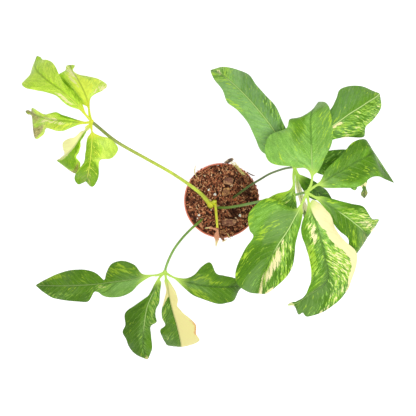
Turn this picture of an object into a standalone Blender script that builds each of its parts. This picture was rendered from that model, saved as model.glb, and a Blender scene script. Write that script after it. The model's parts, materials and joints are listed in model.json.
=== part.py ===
"""A potted anthurium: four compound leaves and a new shoot in a round nursery pot of bark mix.

Stalks and leaflets are drawn on a plan, as an eye high over the plant sees them. A plan point is
(x, y, height in mm), with y running down the drawing. plan_to_space sets it on the eye's sight
line, so a height can change without moving the point on the drawing.
"""

import math
import random
from typing import NamedTuple

import bmesh
import bpy
from mathutils import Matrix, Vector, noise

MM = 0.001

# Pot, in metres. Its axis is the Z axis and its underside is at Z = 0.
RIM_DIAMETER = 0.100
BASE_DIAMETER = 0.072
POT_HEIGHT = 0.088
POT_WALL = 0.0011
FLOOR_THICKNESS = 0.0018
RIM_BAND_HEIGHT = 0.009
RIM_BAND_STEP = 0.0009
RIM_BAND_CHAMFER = 0.0005
RIM_ROLL = 0.0009
POT_CORNER = 0.0012
POT_SIDES = 48
DRAIN_HOLES = 6
DRAIN_HOLE_DIAMETER = 0.008
DRAIN_CIRCLE_RADIUS = 0.024

# Gap between two pieces that touch.
SEAT_GAP = 0.0003

# Plan drawing. The pot's rim is PLAN_RIM_DIAMETER units across and centred on PLAN_AXIS.
PLAN_AXIS = (221.5, 200.5)
PLAN_EYE = (208.0, 208.0)
PLAN_RIM_DIAMETER = 75.0
EYE_HEIGHT = 1.2

# Potting mix.
MIX_TOP_HEIGHT = 0.0835
MIX_CROWN = 0.0015
MIX_LUMP_HEIGHT = 0.0024
MIX_LUMP_SIZE = 0.011
MIX_RING_RADII = (0.006, 0.012, 0.018, 0.024, 0.030, 0.036, 0.041)
MIX_SIDES = 36
# Each hollow is plan x, plan y, radius and depth.
MIX_HOLLOWS = (
    (234.0, 211.5, 0.0085, 0.0060),
    (246.0, 194.5, 0.0060, 0.0050),
    (236.0, 187.0, 0.0050, 0.0035),
    (222.5, 216.0, 0.0045, 0.0030),
)

# Each chip is plan x, plan y, length, width, thickness and turn in degrees.
BARK_CHIPS = (
    (228.5, 181.0, 0.0155, 0.0110, 0.0042, 12.0),
    (226.0, 192.0, 0.0140, 0.0112, 0.0046, 70.0),
    (229.0, 222.3, 0.0225, 0.0118, 0.0044, 3.0),
    (222.5, 231.6, 0.0095, 0.0062, 0.0040, 12.0),
)
CHIP_SINK = 0.0016
CUTTER_RISE = 0.014
ROUND_SIDES = 12
CHIP_SIDES = 10
RIM_FLAKE = (229.3, 160.9, 0.0150, 0.0074, 0.0014, 24.0)

# Leaves.
HUB_RADIUS = 0.0036
ARM_WIDTH = 0.0030
ARM_THICKNESS = 0.0026
ARM_EDGE = 0.0014
BLADE_RIB = 0.0012
BLADE_EDGE = 0.0007
TIP_WIDTH = 0.0010
HALF_BULGE = 0.10
WAVE_HEIGHT = 0.0014
WAVE_RUNGS = 2.7
STEPS_PER_RUNG = 2
ACROSS = (1.0, 0.5, 0.0, -0.5, -1.0)
STALK_SIDES = 8
STALK_STEPS = 3


class Leaflet(NamedTuple):
    """One leaflet: the arm's points, then rungs across the blade, then the tip.

    A rung is the rib's point and the left and right edges, as seen when looking to the tip. The
    third number of an edge is its height over the rib, in mm.
    """

    arm: tuple
    rungs: tuple
    tip: tuple


class Leaf(NamedTuple):
    """One compound leaf: its stalk's points up to the hub, the stalk's radii and its leaflets."""

    stalk: tuple
    radii: tuple
    leaflets: tuple


YOUNG_LEAF = Leaf(
    stalk=(
        (210.0, 204.0, 89), (206.0, 199.5, 98), (200.6, 193.5, 108), (189.0, 184.5, 124),
        (170.0, 172.0, 147), (146.0, 158.5, 169), (117.0, 142.0, 184), (98.4, 127.2, 187),
        (91.5, 121.5, 190),
    ),
    radii=(0.0036, 0.0016),
    leaflets=(
        Leaflet(
            arm=((91.5, 121.5, 190), (88.0, 117.3, 192), (84.5, 113.3, 194)),
            rungs=(
                ((81.0, 108.5, 196), (79.0, 109.6, -1), (82.5, 104.5, -1)),
                ((75.5, 103.0, 198), (71.0, 107.0, -2), (78.5, 97.5, -2)),
                ((69.0, 97.0, 200), (64.0, 102.5, -3), (72.5, 90.5, -3)),
                ((62.0, 91.0, 200), (57.0, 96.3, -4), (65.0, 84.3, -3)),
                ((55.0, 86.0, 198), (47.0, 92.3, -4), (60.2, 77.5, -3)),
                ((48.0, 81.0, 194), (36.0, 90.2, -5), (57.0, 69.5, -3)),
                ((42.0, 76.0, 188), (26.0, 88.3, -5), (52.5, 62.7, -4)),
                ((37.5, 71.5, 181), (21.6, 83.2, -6), (47.3, 60.2, -5)),
                ((35.0, 66.5, 172), (28.3, 80.0, -9), (42.8, 59.8, -4)),
                ((35.4, 61.5, 164), (33.3, 65.0, -5), (40.6, 57.3, -3)),
            ),
            tip=(36.8, 56.2, 158),
        ),
        Leaflet(
            arm=((91.5, 121.5, 190), (89.6, 114.5, 188), (88.6, 107.0, 186)),
            rungs=(
                ((87.4, 101.0, 184), (82.6, 104.2, -2), (90.2, 99.5, -1)),
                ((85.5, 95.0, 183), (75.6, 97.3, -5), (93.5, 95.0, -2)),
                ((83.0, 89.5, 181), (69.2, 90.6, -8), (102.0, 91.0, -4)),
                ((80.5, 84.5, 178), (63.8, 84.3, -9), (107.0, 85.3, -6)),
                ((78.0, 80.0, 174), (60.0, 78.6, -9), (99.0, 79.3, -4)),
                ((75.5, 76.0, 169), (59.4, 74.6, -6), (87.0, 76.4, -2)),
                ((73.0, 72.5, 163), (64.5, 71.2, -3), (77.4, 74.0, -1)),
                ((71.2, 69.2, 157), (66.0, 68.2, -2), (73.0, 70.4, -1)),
                ((70.6, 67.2, 153), (66.6, 66.0, -1), (74.8, 65.6, -1)),
            ),
            tip=(69.8, 65.0, 149),
        ),
        Leaflet(
            arm=((91.5, 121.5, 190), (88.0, 122.6, 190), (84.0, 122.8, 190)),
            rungs=(
                ((79.0, 122.3, 191), (79.5, 124.5, -1), (79.0, 120.2, -1)),
                ((72.0, 121.5, 191), (72.5, 127.0, -2), (70.0, 117.3, -1)),
                ((65.0, 121.0, 190), (65.0, 130.5, -4), (62.0, 114.8, -1)),
                ((58.0, 120.5, 187), (58.0, 131.0, -4), (56.0, 112.2, 1)),
                ((51.0, 119.5, 183), (51.5, 129.3, -4), (49.5, 113.6, 1)),
                ((44.5, 118.0, 178), (46.5, 128.6, -8), (44.0, 114.2, 1)),
                ((39.0, 116.0, 171), (42.4, 135.4, -24), (38.5, 111.3, 1)),
                ((34.0, 114.3, 163), (34.9, 138.0, -26), (32.2, 107.8, 1)),
                ((31.0, 113.2, 157), (32.0, 117.0, -8), (31.0, 111.4, 0)),
                ((27.8, 111.9, 151), (27.6, 114.2, -1), (28.4, 110.0, 0)),
            ),
            tip=(25.6, 111.4, 147),
        ),
        Leaflet(
            arm=((91.5, 121.5, 190), (90.4, 123.6, 189), (89.4, 125.4, 189)),
            rungs=(
                ((88.0, 127.6, 188), (89.6, 128.4, -1), (85.4, 126.8, 0)),
                ((85.4, 131.0, 186), (86.4, 131.9, -1), (84.4, 130.2, 0)),
                ((82.5, 134.5, 184), (84.2, 136.0, -2), (80.5, 131.7, 1)),
                ((79.3, 139.5, 182), (80.6, 141.0, -3), (74.5, 137.3, 1)),
                ((76.0, 144.5, 179), (80.7, 146.5, -6), (68.0, 138.8, 1)),
                ((72.5, 148.8, 175), (78.8, 152.0, -8), (63.0, 142.5, -1)),
                ((69.0, 152.5, 170), (76.0, 157.5, -10), (63.3, 148.3, -2)),
                ((65.5, 155.8, 163), (80.6, 163.8, -14), (64.6, 154.0, -2)),
                ((61.8, 158.6, 155), (75.3, 173.5, -16), (61.0, 157.6, -1)),
            ),
            tip=(56.8, 160.5, 147),
        ),
        Leaflet(
            arm=((91.5, 121.5, 190), (91.4, 127.5, 191), (92.3, 132.5, 192)),
            rungs=(
                ((92.2, 138.0, 192), (101.0, 136.2, -2), (87.8, 137.3, -2)),
                ((91.8, 144.0, 191), (111.0, 139.2, -4), (86.2, 143.5, -3)),
                ((91.3, 150.0, 188), (118.0, 148.5, -6), (85.8, 150.0, -3)),
                ((90.8, 155.5, 184), (111.5, 158.0, -8), (85.0, 156.5, -3)),
                ((90.2, 161.0, 178), (100.5, 159.8, -5), (83.8, 162.0, -4)),
                ((89.3, 167.0, 171), (98.6, 167.5, -6), (80.0, 168.0, -5)),
                ((88.3, 173.0, 162), (99.0, 174.3, -7), (75.6, 174.0, -6)),
                ((87.4, 178.0, 153), (96.8, 181.5, -7), (74.4, 179.0, -7)),
                ((86.8, 180.8, 146), (91.8, 186.6, -6), (78.6, 184.4, -6)),
            ),
            tip=(85.5, 181.3, 140),
        ),
    ),
)

LOW_LEAF = Leaf(
    stalk=(
        (203.6, 218.0, 62), (202.6, 219.0, 80), (198.5, 222.5, 91), (190.5, 229.5, 104),
        (182.0, 238.5, 117), (174.5, 248.5, 130), (169.5, 258.0, 141), (166.2, 266.5, 148),
        (165.0, 272.0, 151),
    ),
    radii=(0.0018, 0.0014),
    leaflets=(
        Leaflet(
            arm=((165.0, 272.0, 151), (158.0, 275.0, 153), (150.0, 275.8, 155)),
            rungs=(
                ((143.0, 277.0, 156), (139.0, 284.0, -3), (141.5, 273.5, -1)),
                ((134.0, 279.0, 157), (131.0, 292.0, -5), (134.0, 264.8, -4)),
                ((124.0, 280.5, 157), (121.0, 296.5, -6), (122.0, 260.8, -6)),
                ((115.0, 281.8, 156), (112.0, 297.2, -6), (111.5, 264.2, -6)),
                ((108.0, 282.7, 154), (104.0, 296.2, -5), (106.5, 273.0, -4)),
                ((101.5, 283.6, 152), (97.5, 292.0, -4), (104.3, 280.0, -2)),
                ((95.0, 284.3, 149), (93.8, 292.5, -4), (97.5, 274.3, -3)),
                ((86.0, 285.0, 144), (88.0, 301.5, -7), (88.0, 270.2, -5)),
                ((76.0, 285.5, 138), (77.0, 301.2, -6), (78.0, 269.6, -5)),
                ((65.0, 285.8, 130), (64.0, 300.0, -5), (66.0, 271.2, -4)),
                ((54.0, 285.8, 121), (53.0, 298.0, -4), (55.0, 275.0, -3)),
                ((45.0, 285.6, 113), (44.0, 292.3, -3), (45.5, 279.8, -2)),
            ),
            tip=(36.0, 285.3, 104),
        ),
        Leaflet(
            arm=((165.0, 272.0, 151), (161.5, 275.5, 150), (158.8, 279.0, 148)),
            rungs=(
                ((157.0, 284.0, 146), (161.2, 283.0, -2), (154.0, 285.0, -2)),
                ((154.0, 291.0, 144), (159.9, 293.0, -4), (150.5, 292.5, -2)),
                ((150.5, 298.5, 141), (159.2, 302.5, -6), (146.5, 297.2, -2)),
                ((147.3, 306.5, 137), (156.0, 309.0, -7), (135.0, 305.3, -5)),
                ((145.5, 315.0, 132), (155.3, 316.0, -9), (125.3, 313.0, -7)),
                ((144.5, 322.5, 127), (156.5, 321.8, -13), (125.5, 324.5, -7)),
                ((143.7, 330.0, 121), (150.5, 326.5, -3), (122.6, 332.0, -7)),
                ((143.2, 338.0, 114), (151.2, 337.0, -4), (126.5, 339.5, -6)),
                ((143.2, 345.5, 106), (152.2, 347.5, -4), (129.3, 347.5, -5)),
                ((144.5, 352.5, 99), (150.6, 353.0, -2), (136.0, 354.5, -3)),
            ),
            tip=(147.5, 359.3, 92),
        ),
        Leaflet(
            arm=((165.0, 272.0, 151), (165.5, 275.5, 150), (166.0, 278.5, 149)),
            rungs=(
                ((167.2, 283.0, 147), (169.8, 282.0, -1), (164.5, 282.0, -1)),
                ((168.2, 291.0, 144), (175.5, 291.5, 1), (166.2, 290.5, -2)),
                ((169.6, 299.0, 140), (177.8, 299.5, 1), (164.2, 299.5, -3)),
                ((171.5, 307.0, 135), (177.3, 306.5, 0), (161.8, 310.0, -4)),
                ((173.7, 315.0, 129), (183.5, 313.3, 1), (162.4, 318.0, -4)),
                ((175.8, 322.0, 123), (190.5, 318.8, 1), (165.2, 325.2, -4)),
                ((177.8, 329.5, 116), (195.8, 325.5, 0), (160.4, 329.8, -6)),
                ((179.3, 336.0, 109), (196.0, 333.5, -1), (162.0, 336.0, -6)),
                ((180.5, 342.0, 101), (199.5, 340.3, -3), (164.8, 342.0, -5)),
                ((181.0, 346.6, 93), (191.0, 344.8, -2), (168.5, 345.5, -4)),
            ),
            tip=(180.5, 346.8, 84),
        ),
        Leaflet(
            arm=((165.0, 272.0, 151), (169.5, 275.3, 153), (175.5, 278.3, 154)),
            rungs=(
                ((183.0, 281.0, 155), (186.0, 278.4, -2), (183.5, 287.0, -3)),
                ((191.0, 283.0, 155), (194.5, 274.5, -3), (193.0, 295.0, -5)),
                ((199.0, 284.8, 153), (202.5, 265.8, -5), (202.0, 298.8, -6)),
                ((207.0, 286.0, 150), (210.5, 262.8, -6), (211.0, 301.7, -7)),
                ((215.0, 286.8, 146), (215.9, 273.0, -3), (219.0, 304.0, -7)),
                ((223.0, 287.0, 140), (224.0, 275.7, -3), (226.5, 303.0, -6)),
                ((231.0, 286.6, 133), (233.0, 277.6, -2), (234.0, 300.0, -5)),
                ((238.0, 285.8, 125), (240.0, 280.5, -1), (238.5, 291.0, -3)),
            ),
            tip=(243.0, 285.6, 118),
        ),
    ),
)

UNDER_LEAF = Leaf(
    stalk=(
        (231.0, 199.2, 62), (232.5, 198.1, 82), (238.5, 193.8, 99), (249.5, 185.8, 127),
        (260.0, 179.5, 152), (270.0, 173.7, 178), (283.0, 169.0, 208), (290.0, 167.6, 226),
        (294.5, 167.2, 236),
    ),
    radii=(0.0017, 0.0013),
    leaflets=(
        Leaflet(
            arm=((294.5, 167.2, 236), (292.5, 162.0, 239), (289.5, 156.5, 242)),
            rungs=(
                ((286.0, 150.0, 245), (275.0, 156.5, -3), (293.0, 144.5, -2)),
                ((279.0, 138.5, 248), (262.0, 151.8, -7), (288.3, 133.5, -3)),
                ((271.0, 126.0, 249), (255.5, 138.5, -7), (282.0, 121.0, -4)),
                ((262.0, 114.5, 248), (248.5, 124.0, -6), (275.8, 107.0, -6)),
                ((251.5, 102.0, 244), (238.0, 110.5, -5), (266.0, 95.8, -6)),
                ((242.0, 92.0, 238), (227.3, 102.0, -5), (256.7, 86.0, -6)),
                ((233.0, 83.5, 230), (222.3, 89.8, -4), (248.5, 74.6, -6)),
                ((224.0, 76.5, 220), (215.5, 81.2, -3), (236.0, 69.4, -5)),
                ((217.0, 72.2, 211), (212.0, 75.2, -2), (223.0, 67.1, -3)),
            ),
            tip=(210.8, 70.2, 203),
        ),
        Leaflet(
            arm=((294.5, 167.2, 236), (300.0, 159.5, 240), (307.0, 150.0, 244)),
            rungs=(
                ((320.0, 136.0, 248), (315.0, 127.0, -4), (324.0, 143.5, -4)),
                ((331.0, 127.0, 250), (330.0, 110.3, -5), (335.0, 139.0, -5)),
                ((341.0, 120.0, 249), (335.8, 100.0, -6), (349.0, 137.2, -5)),
                ((350.0, 113.5, 246), (339.5, 90.0, -7), (363.5, 136.8, -7)),
                ((359.0, 108.0, 240), (350.0, 85.8, -8), (365.2, 127.0, -5)),
                ((368.0, 102.0, 232), (362.0, 86.5, -6), (373.5, 119.0, -6)),
                ((376.0, 97.0, 223), (371.0, 90.0, -3), (381.0, 107.5, -5)),
            ),
            tip=(379.8, 93.6, 216),
        ),
        Leaflet(
            arm=((294.5, 167.2, 236), (299.5, 166.8, 238), (304.5, 166.6, 240)),
            rungs=(
                ((311.0, 166.0, 241), (309.5, 160.5, -2), (312.5, 170.5, -2)),
                ((322.0, 164.0, 242), (322.0, 152.8, -5), (321.5, 174.5, -5)),
                ((335.0, 162.0, 239), (336.5, 149.8, -6), (333.5, 176.5, -6)),
                ((347.0, 165.0, 230), (351.0, 151.0, -7), (344.5, 183.0, -6)),
                ((356.5, 174.0, 216), (362.5, 164.0, -6), (354.0, 190.3, -5)),
                ((361.8, 182.5, 205), (367.0, 178.5, -3), (358.8, 185.8, -2)),
                ((364.4, 188.2, 198), (366.2, 187.8, -1), (362.6, 188.9, -1)),
                ((364.0, 193.4, 190), (367.4, 193.0, -1), (360.8, 194.2, -1)),
            ),
            tip=(364.4, 198.0, 182),
        ),
        Leaflet(
            arm=((294.5, 167.2, 236), (296.3, 171.5, 235), (298.5, 175.0, 233)),
            rungs=(
                ((301.0, 178.5, 230), (304.0, 176.0, -2), (299.0, 181.5, -2)),
                ((307.0, 184.5, 224), (311.5, 179.5, -3), (302.5, 189.0, -3)),
                ((314.5, 190.0, 215), (321.0, 186.0, -4), (309.0, 197.0, -4)),
                ((322.5, 194.8, 204), (326.8, 190.6, -3), (317.5, 200.3, -3)),
            ),
            tip=(332.5, 200.6, 192),
        ),
        Leaflet(
            arm=((294.5, 167.2, 236), (295.7, 171.5, 233), (296.6, 176.5, 229)),
            rungs=(
                ((297.5, 182.0, 223), (299.6, 181.5, -8), (295.6, 183.5, -5)),
                ((300.0, 194.0, 208), (302.5, 193.5, -11), (298.2, 195.5, -8)),
                ((303.0, 206.0, 191), (307.3, 206.5, -10), (301.2, 207.5, -8)),
                ((305.5, 214.5, 177), (308.0, 214.0, -5), (303.6, 216.0, -4)),
            ),
            tip=(306.0, 222.0, 164),
        ),
        Leaflet(
            arm=((294.5, 167.2, 236), (293.6, 176.0, 239), (293.8, 185.5, 240)),
            rungs=(
                ((293.6, 191.0, 240), (295.0, 190.0, -1), (288.0, 191.0, -2)),
                ((292.6, 197.0, 239), (295.8, 197.5, -2), (276.0, 194.0, -4)),
                ((291.0, 206.0, 236), (297.0, 207.0, -4), (266.0, 201.0, -6)),
                ((287.0, 218.0, 230), (296.0, 218.0, -5), (262.0, 214.0, -7)),
                ((281.0, 231.0, 220), (290.0, 231.0, -5), (262.0, 230.0, -6)),
                ((274.0, 243.0, 207), (281.0, 244.0, -4), (265.0, 242.0, -4)),
            ),
            tip=(268.0, 252.0, 195),
        ),
    ),
)

TOP_LEAF = Leaf(
    stalk=(
        (215.0, 207.2, 62), (217.5, 207.3, 82), (225.0, 207.7, 96), (235.0, 206.4, 116),
        (246.5, 204.3, 139), (257.0, 202.0, 159), (272.0, 199.0, 186), (284.0, 197.0, 205),
        (293.0, 195.3, 221), (300.0, 193.8, 243), (304.8, 192.6, 261), (306.8, 192.2, 270),
    ),
    radii=(0.0020, 0.0016),
    leaflets=(
        Leaflet(
            arm=((306.8, 192.2, 270), (311.0, 184.5, 273), (312.2, 176.0, 275)),
            rungs=(
                ((312.2, 170.0, 276), (306.0, 168.5, -2), (317.5, 172.0, -2)),
                ((311.9, 163.0, 277), (292.0, 166.2, -5), (321.8, 165.0, -3)),
                ((311.6, 154.0, 277), (271.0, 162.8, -7), (325.5, 156.0, -4)),
                ((311.3, 145.0, 276), (264.8, 150.0, -8), (331.0, 146.0, -5)),
                ((311.0, 137.0, 274), (269.8, 135.6, -7), (332.8, 136.0, -5)),
                ((310.7, 129.0, 272), (286.0, 128.8, -5), (332.0, 125.0, -5)),
                ((310.3, 121.0, 269), (289.6, 119.5, -4), (330.8, 115.0, -4)),
                ((311.5, 112.0, 264), (299.5, 117.4, -4), (329.0, 107.3, -3)),
                ((314.5, 107.2, 254), (312.0, 110.5, -3), (324.8, 102.3, -2)),
            ),
            tip=(318.5, 102.0, 243),
        ),
        Leaflet(
            arm=((306.8, 192.2, 270), (312.5, 187.8, 273), (318.0, 184.5, 275)),
            rungs=(
                ((323.0, 181.5, 276), (321.0, 179.8, -1), (324.0, 187.6, -2)),
                ((330.0, 177.5, 277), (326.0, 170.0, -3), (334.0, 188.0, -4)),
                ((339.0, 172.0, 277), (334.0, 162.0, -4), (344.0, 187.9, -6)),
                ((348.0, 166.7, 276), (343.0, 153.5, -5), (354.0, 187.7, -8)),
                ((357.0, 161.5, 273), (351.0, 144.0, -6), (362.0, 184.8, -9)),
                ((366.0, 157.0, 268), (358.6, 139.8, -6), (370.0, 178.0, -8)),
                ((373.5, 153.5, 261), (366.4, 140.4, -5), (378.0, 176.3, -8)),
                ((380.0, 166.0, 244), (372.5, 150.0, -3), (385.5, 179.5, -4)),
            ),
            tip=(393.7, 182.5, 228),
        ),
        Leaflet(
            arm=((306.8, 192.2, 270), (311.0, 195.0, 270), (315.5, 197.3, 270)),
            rungs=(
                ((321.0, 200.5, 270), (323.0, 196.5, -1), (319.0, 201.7, -1)),
                ((327.5, 204.5, 269), (332.0, 198.8, -2), (325.0, 208.3, -3)),
                ((334.0, 208.5, 267), (342.0, 201.5, -3), (331.0, 216.8, -5)),
                ((341.0, 213.0, 263), (352.0, 203.8, -4), (334.5, 225.0, -6)),
                ((348.0, 218.0, 257), (363.0, 206.5, -5), (340.5, 232.0, -6)),
                ((355.0, 223.5, 249), (369.3, 215.5, -5), (348.2, 238.2, -6)),
                ((362.0, 229.5, 239), (373.0, 219.2, -4), (349.5, 247.0, -5)),
                ((366.8, 236.8, 227), (378.5, 220.6, -3), (356.6, 253.3, -3)),
            ),
            tip=(366.0, 237.5, 216),
        ),
        Leaflet(
            arm=((306.8, 192.2, 270), (307.8, 198.0, 270), (308.8, 203.5, 271)),
            rungs=(
                ((311.0, 209.5, 271), (313.5, 199.8, -2), (306.3, 212.5, -2)),
                ((315.0, 219.5, 269), (324.0, 207.2, -3), (302.3, 221.5, -4)),
                ((318.5, 229.5, 266), (331.5, 217.0, -4), (301.2, 231.0, -5)),
                ((321.0, 239.0, 262), (336.0, 229.5, -5), (303.0, 239.5, -5)),
                ((323.3, 249.0, 257), (345.0, 241.2, -6), (306.5, 248.5, -5)),
                ((325.5, 259.0, 250), (355.5, 250.7, -7), (309.6, 260.0, -5)),
                ((328.0, 270.0, 241), (357.0, 262.0, -8), (311.0, 272.0, -5)),
                ((327.5, 279.5, 231), (351.8, 278.5, -8), (310.8, 282.0, -5)),
                ((322.0, 286.5, 220), (347.2, 290.8, -8), (307.0, 291.8, -4)),
                ((314.0, 291.8, 209), (338.3, 300.8, -7), (302.5, 298.0, -3)),
                ((306.0, 296.8, 199), (323.5, 311.2, -6), (297.0, 301.2, -2)),
                ((300.5, 300.6, 192), (308.0, 316.8, -6), (296.2, 301.4, -1)),
                ((298.4, 302.0, 190), (302.6, 312.7, -5), (294.9, 301.9, -1)),
                ((296.4, 303.1, 188), (298.4, 314.4, -5), (293.5, 302.1, -1)),
                ((294.2, 303.8, 186), (295.2, 306.8, -2), (292.0, 302.1, -1)),
                ((291.6, 304.0, 184), (291.9, 305.4, -1), (290.6, 302.7, -1)),
            ),
            tip=(287.8, 305.2, 181),
        ),
        Leaflet(
            arm=((306.8, 192.2, 270), (304.0, 199.0, 270), (301.0, 205.5, 269)),
            rungs=(
                ((298.5, 211.0, 268), (302.5, 214.0, -2), (294.5, 209.3, -2)),
                ((294.0, 219.0, 266), (300.3, 225.5, -3), (285.0, 205.0, -4)),
                ((289.0, 228.5, 262), (297.5, 235.5, -4), (266.5, 198.2, -6)),
                ((283.5, 237.0, 258), (295.0, 246.0, -5), (249.5, 212.5, -8)),
                ((279.0, 243.5, 254), (294.5, 255.0, -6), (249.5, 229.0, -7)),
                ((275.0, 250.5, 249), (292.5, 266.5, -7), (253.2, 236.8, -5)),
                ((271.0, 257.5, 243), (287.0, 276.0, -8), (244.5, 250.0, -6)),
                ((267.0, 266.0, 235), (279.0, 284.0, -8), (236.0, 270.0, -8)),
                ((264.0, 274.5, 226), (271.5, 290.3, -7), (237.0, 283.3, -7)),
                ((261.5, 284.0, 216), (265.5, 293.6, -4), (248.0, 291.9, -5)),
            ),
            tip=(258.5, 293.6, 208),
        ),
    ),
)

SHOOT_STALK = (
    (216.2, 200.8, 62), (215.4, 202.0, 83), (215.6, 206.0, 93), (216.2, 214.0, 101),
    (216.8, 221.0, 105), (217.35, 227.7, 106),
)
SHOOT_RADII = (0.0020, 0.0015)
SHOOT_SHEATH = Leaflet(
    arm=((217.6, 229.6, 106), (217.5, 231.5, 106)),
    rungs=(
        ((217.3, 234.0, 106), (219.6, 233.5, -2), (214.0, 234.0, -2)),
        ((217.0, 237.5, 104), (219.8, 237.5, -2), (213.8, 238.0, -2)),
        ((216.6, 241.5, 100), (218.4, 241.5, -1), (215.0, 241.5, -1)),
    ),
    tip=(216.0, 246.5, 94),
)
SHOOT_TEAR = Leaflet(
    arm=((217.6, 229.9, 106), (215.6, 229.3, 106)),
    rungs=(
        ((212.8, 228.2, 105), (212.8, 229.3, -1), (213.0, 227.3, -1)),
        ((209.5, 227.7, 103), (209.5, 228.4, 0), (209.5, 227.1, 0)),
    ),
    tip=(205.0, 228.0, 100),
)

# The swollen sheath at the young leaf's foot, with a radius at each point.
CROWN_POINTS = (
    (211.0, 205.6, 62), (210.8, 205.3, 80), (210.4, 204.7, 89), (209.9, 203.9, 94), (209.5, 203.3, 97),
)
CROWN_RADII = (0.0034, 0.0046, 0.0044, 0.0034, 0.0013)


def material(name, colour, roughness):
    """Return a Principled material of one colour."""
    made = bpy.data.materials.new(name)
    made.use_nodes = True
    shader = made.node_tree.nodes["Principled BSDF"]
    shader.inputs["Base Color"].default_value = (*colour, 1.0)
    shader.inputs["Roughness"].default_value = roughness
    shader.inputs["Metallic"].default_value = 0.0
    return made


def object_from(name, build, finish=None):
    """Return a new object holding the bmesh, with its faces turned outwards."""
    bmesh.ops.recalc_face_normals(build, faces=build.faces)
    mesh = bpy.data.meshes.new(name)
    build.to_mesh(mesh)
    build.free()
    mesh.shade_smooth()
    mesh.set_sharp_from_angle(angle=math.radians(35.0))
    made = bpy.data.objects.new(name, mesh)
    bpy.context.scene.collection.objects.link(made)
    if finish:
        mesh.materials.append(finish)
    return made


def combine(target, others, operation):
    """Join the others to the target or cut them out of it, and remove them."""
    group = bpy.data.collections.new("shapes")
    for other in others:
        group.objects.link(other)
    boolean = target.modifiers.new("Combine", "BOOLEAN")
    boolean.operation = operation
    boolean.operand_type = "COLLECTION"
    boolean.collection = group
    boolean.solver = "EXACT"
    evaluated = target.evaluated_get(bpy.context.evaluated_depsgraph_get())
    result = bpy.data.meshes.new_from_object(evaluated)
    target.modifiers.clear()
    target.data = result
    for other in others:
        bpy.data.objects.remove(other)
    bpy.data.collections.remove(group)


def plan_to_space(x, y, height):
    """Return the point at this height in mm that the eye sees at plan point (x, y)."""
    unit = RIM_DIAMETER / PLAN_RIM_DIAMETER
    z = height * MM
    reach = unit * (EYE_HEIGHT - z) / (EYE_HEIGHT - POT_HEIGHT)
    eye_x = (PLAN_EYE[0] - PLAN_AXIS[0]) * unit
    eye_y = (PLAN_AXIS[1] - PLAN_EYE[1]) * unit
    return Vector((eye_x + (x - PLAN_EYE[0]) * reach, eye_y - (y - PLAN_EYE[1]) * reach, z))


def smooth_curve(points, steps):
    """Return points on a smooth curve through the given ones, with steps to each gap."""
    ends = [points[0] * 2 - points[1]] + list(points) + [points[-1] * 2 - points[-2]]
    curve = []
    for before, start, end, after in zip(ends, ends[1:], ends[2:], ends[3:]):
        for step in range(steps):
            t = step / steps
            bend = (before * 2 - start * 5 + end * 4 - after) * t * t
            twist = (start * 3 - before - end * 3 + after) * t * t * t
            curve.append((start * 2 + (end - before) * t + bend + twist) * 0.5)
    curve.append(points[-1].copy())
    return curve


def tube(name, points, radii, sides, finish=None):
    """Return a closed round tube through the points, with a radius for each of them."""
    build = bmesh.new()
    rings = []
    side = (points[-1] - points[0]).orthogonal().normalized()
    for index, (point, radius) in enumerate(zip(points, radii)):
        ahead = points[min(index + 1, len(points) - 1)] - points[max(index - 1, 0)]
        ahead.normalize()
        side = (side - ahead * side.dot(ahead)).normalized()
        up = ahead.cross(side)
        ring = []
        for corner in range(sides):
            angle = 2.0 * math.pi * corner / sides
            offset = side * math.cos(angle) + up * math.sin(angle)
            ring.append(build.verts.new(point + offset * radius))
        rings.append(ring)
    for near, far in zip(rings, rings[1:]):
        for corner in range(sides):
            after = (corner + 1) % sides
            build.faces.new((near[corner], near[after], far[after], far[corner]))
    build.faces.new(rings[0])
    build.faces.new(rings[-1])
    return object_from(name, build, finish)


def leaflet_rungs(leaflet):
    """Return the rib's, left edge's and right edge's points in space, from the hub to the tip."""
    ribs = [plan_to_space(*point) for point in leaflet.arm]
    lefts = []
    rights = []
    first_rib = plan_to_space(*leaflet.rungs[0][0])
    for point, after in zip(ribs, ribs[1:] + [first_rib]):
        side = Vector((0.0, 0.0, 1.0)).cross(after - point).normalized() * ARM_WIDTH / 2
        lefts.append(point + side)
        rights.append(point - side)
    for rib, left, right in leaflet.rungs:
        ribs.append(plan_to_space(*rib))
        lefts.append(plan_to_space(left[0], left[1], rib[2] + left[2]))
        rights.append(plan_to_space(right[0], right[1], rib[2] + right[2]))
    tip = plan_to_space(*leaflet.tip)
    side = (lefts[-1] - rights[-1]).normalized() * TIP_WIDTH / 2
    ribs.append(tip)
    lefts.append(tip + side)
    rights.append(tip - side)
    return ribs, lefts, rights


def blade_surface(leaflet, phase):
    """Return the blade's middle surface, as rows of points from its left edge to its right."""
    ribs, lefts, rights = (smooth_curve(line, STEPS_PER_RUNG) for line in leaflet_rungs(leaflet))
    arm_rows = len(leaflet.arm) * STEPS_PER_RUNG
    rows = []
    for index, (rib, left, right) in enumerate(zip(ribs, lefts, rights)):
        turn = 2.0 * math.pi * index / STEPS_PER_RUNG / WAVE_RUNGS + phase
        fade = min(1.0, max(0.0, (index - arm_rows) / 4.0), (len(ribs) - 1 - index) / 4.0)
        row = []
        for share in ACROSS:
            edge = left if share > 0.0 else right
            out = abs(share)
            span = edge - rib
            lift = HALF_BULGE * span.length * 4.0 * out * (1.0 - out)
            lift += WAVE_HEIGHT * fade * out * out * math.sin(turn if share > 0.0 else turn + 2.0)
            row.append(rib + span * out + Vector((0.0, 0.0, lift)))
        rows.append(row)
    return rows


def surface_normals(rows):
    """Return the upper side's normal at each point of the middle surface."""
    normals = []
    last_row = len(rows) - 1
    last_column = len(rows[0]) - 1
    for i, row in enumerate(rows):
        line = []
        for j in range(len(row)):
            ahead = rows[min(i + 1, last_row)][j] - rows[max(i - 1, 0)][j]
            across = row[min(j + 1, last_column)] - row[max(j - 1, 0)]
            line.append(across.cross(ahead).normalized())
        normals.append(line)
    return normals


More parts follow.
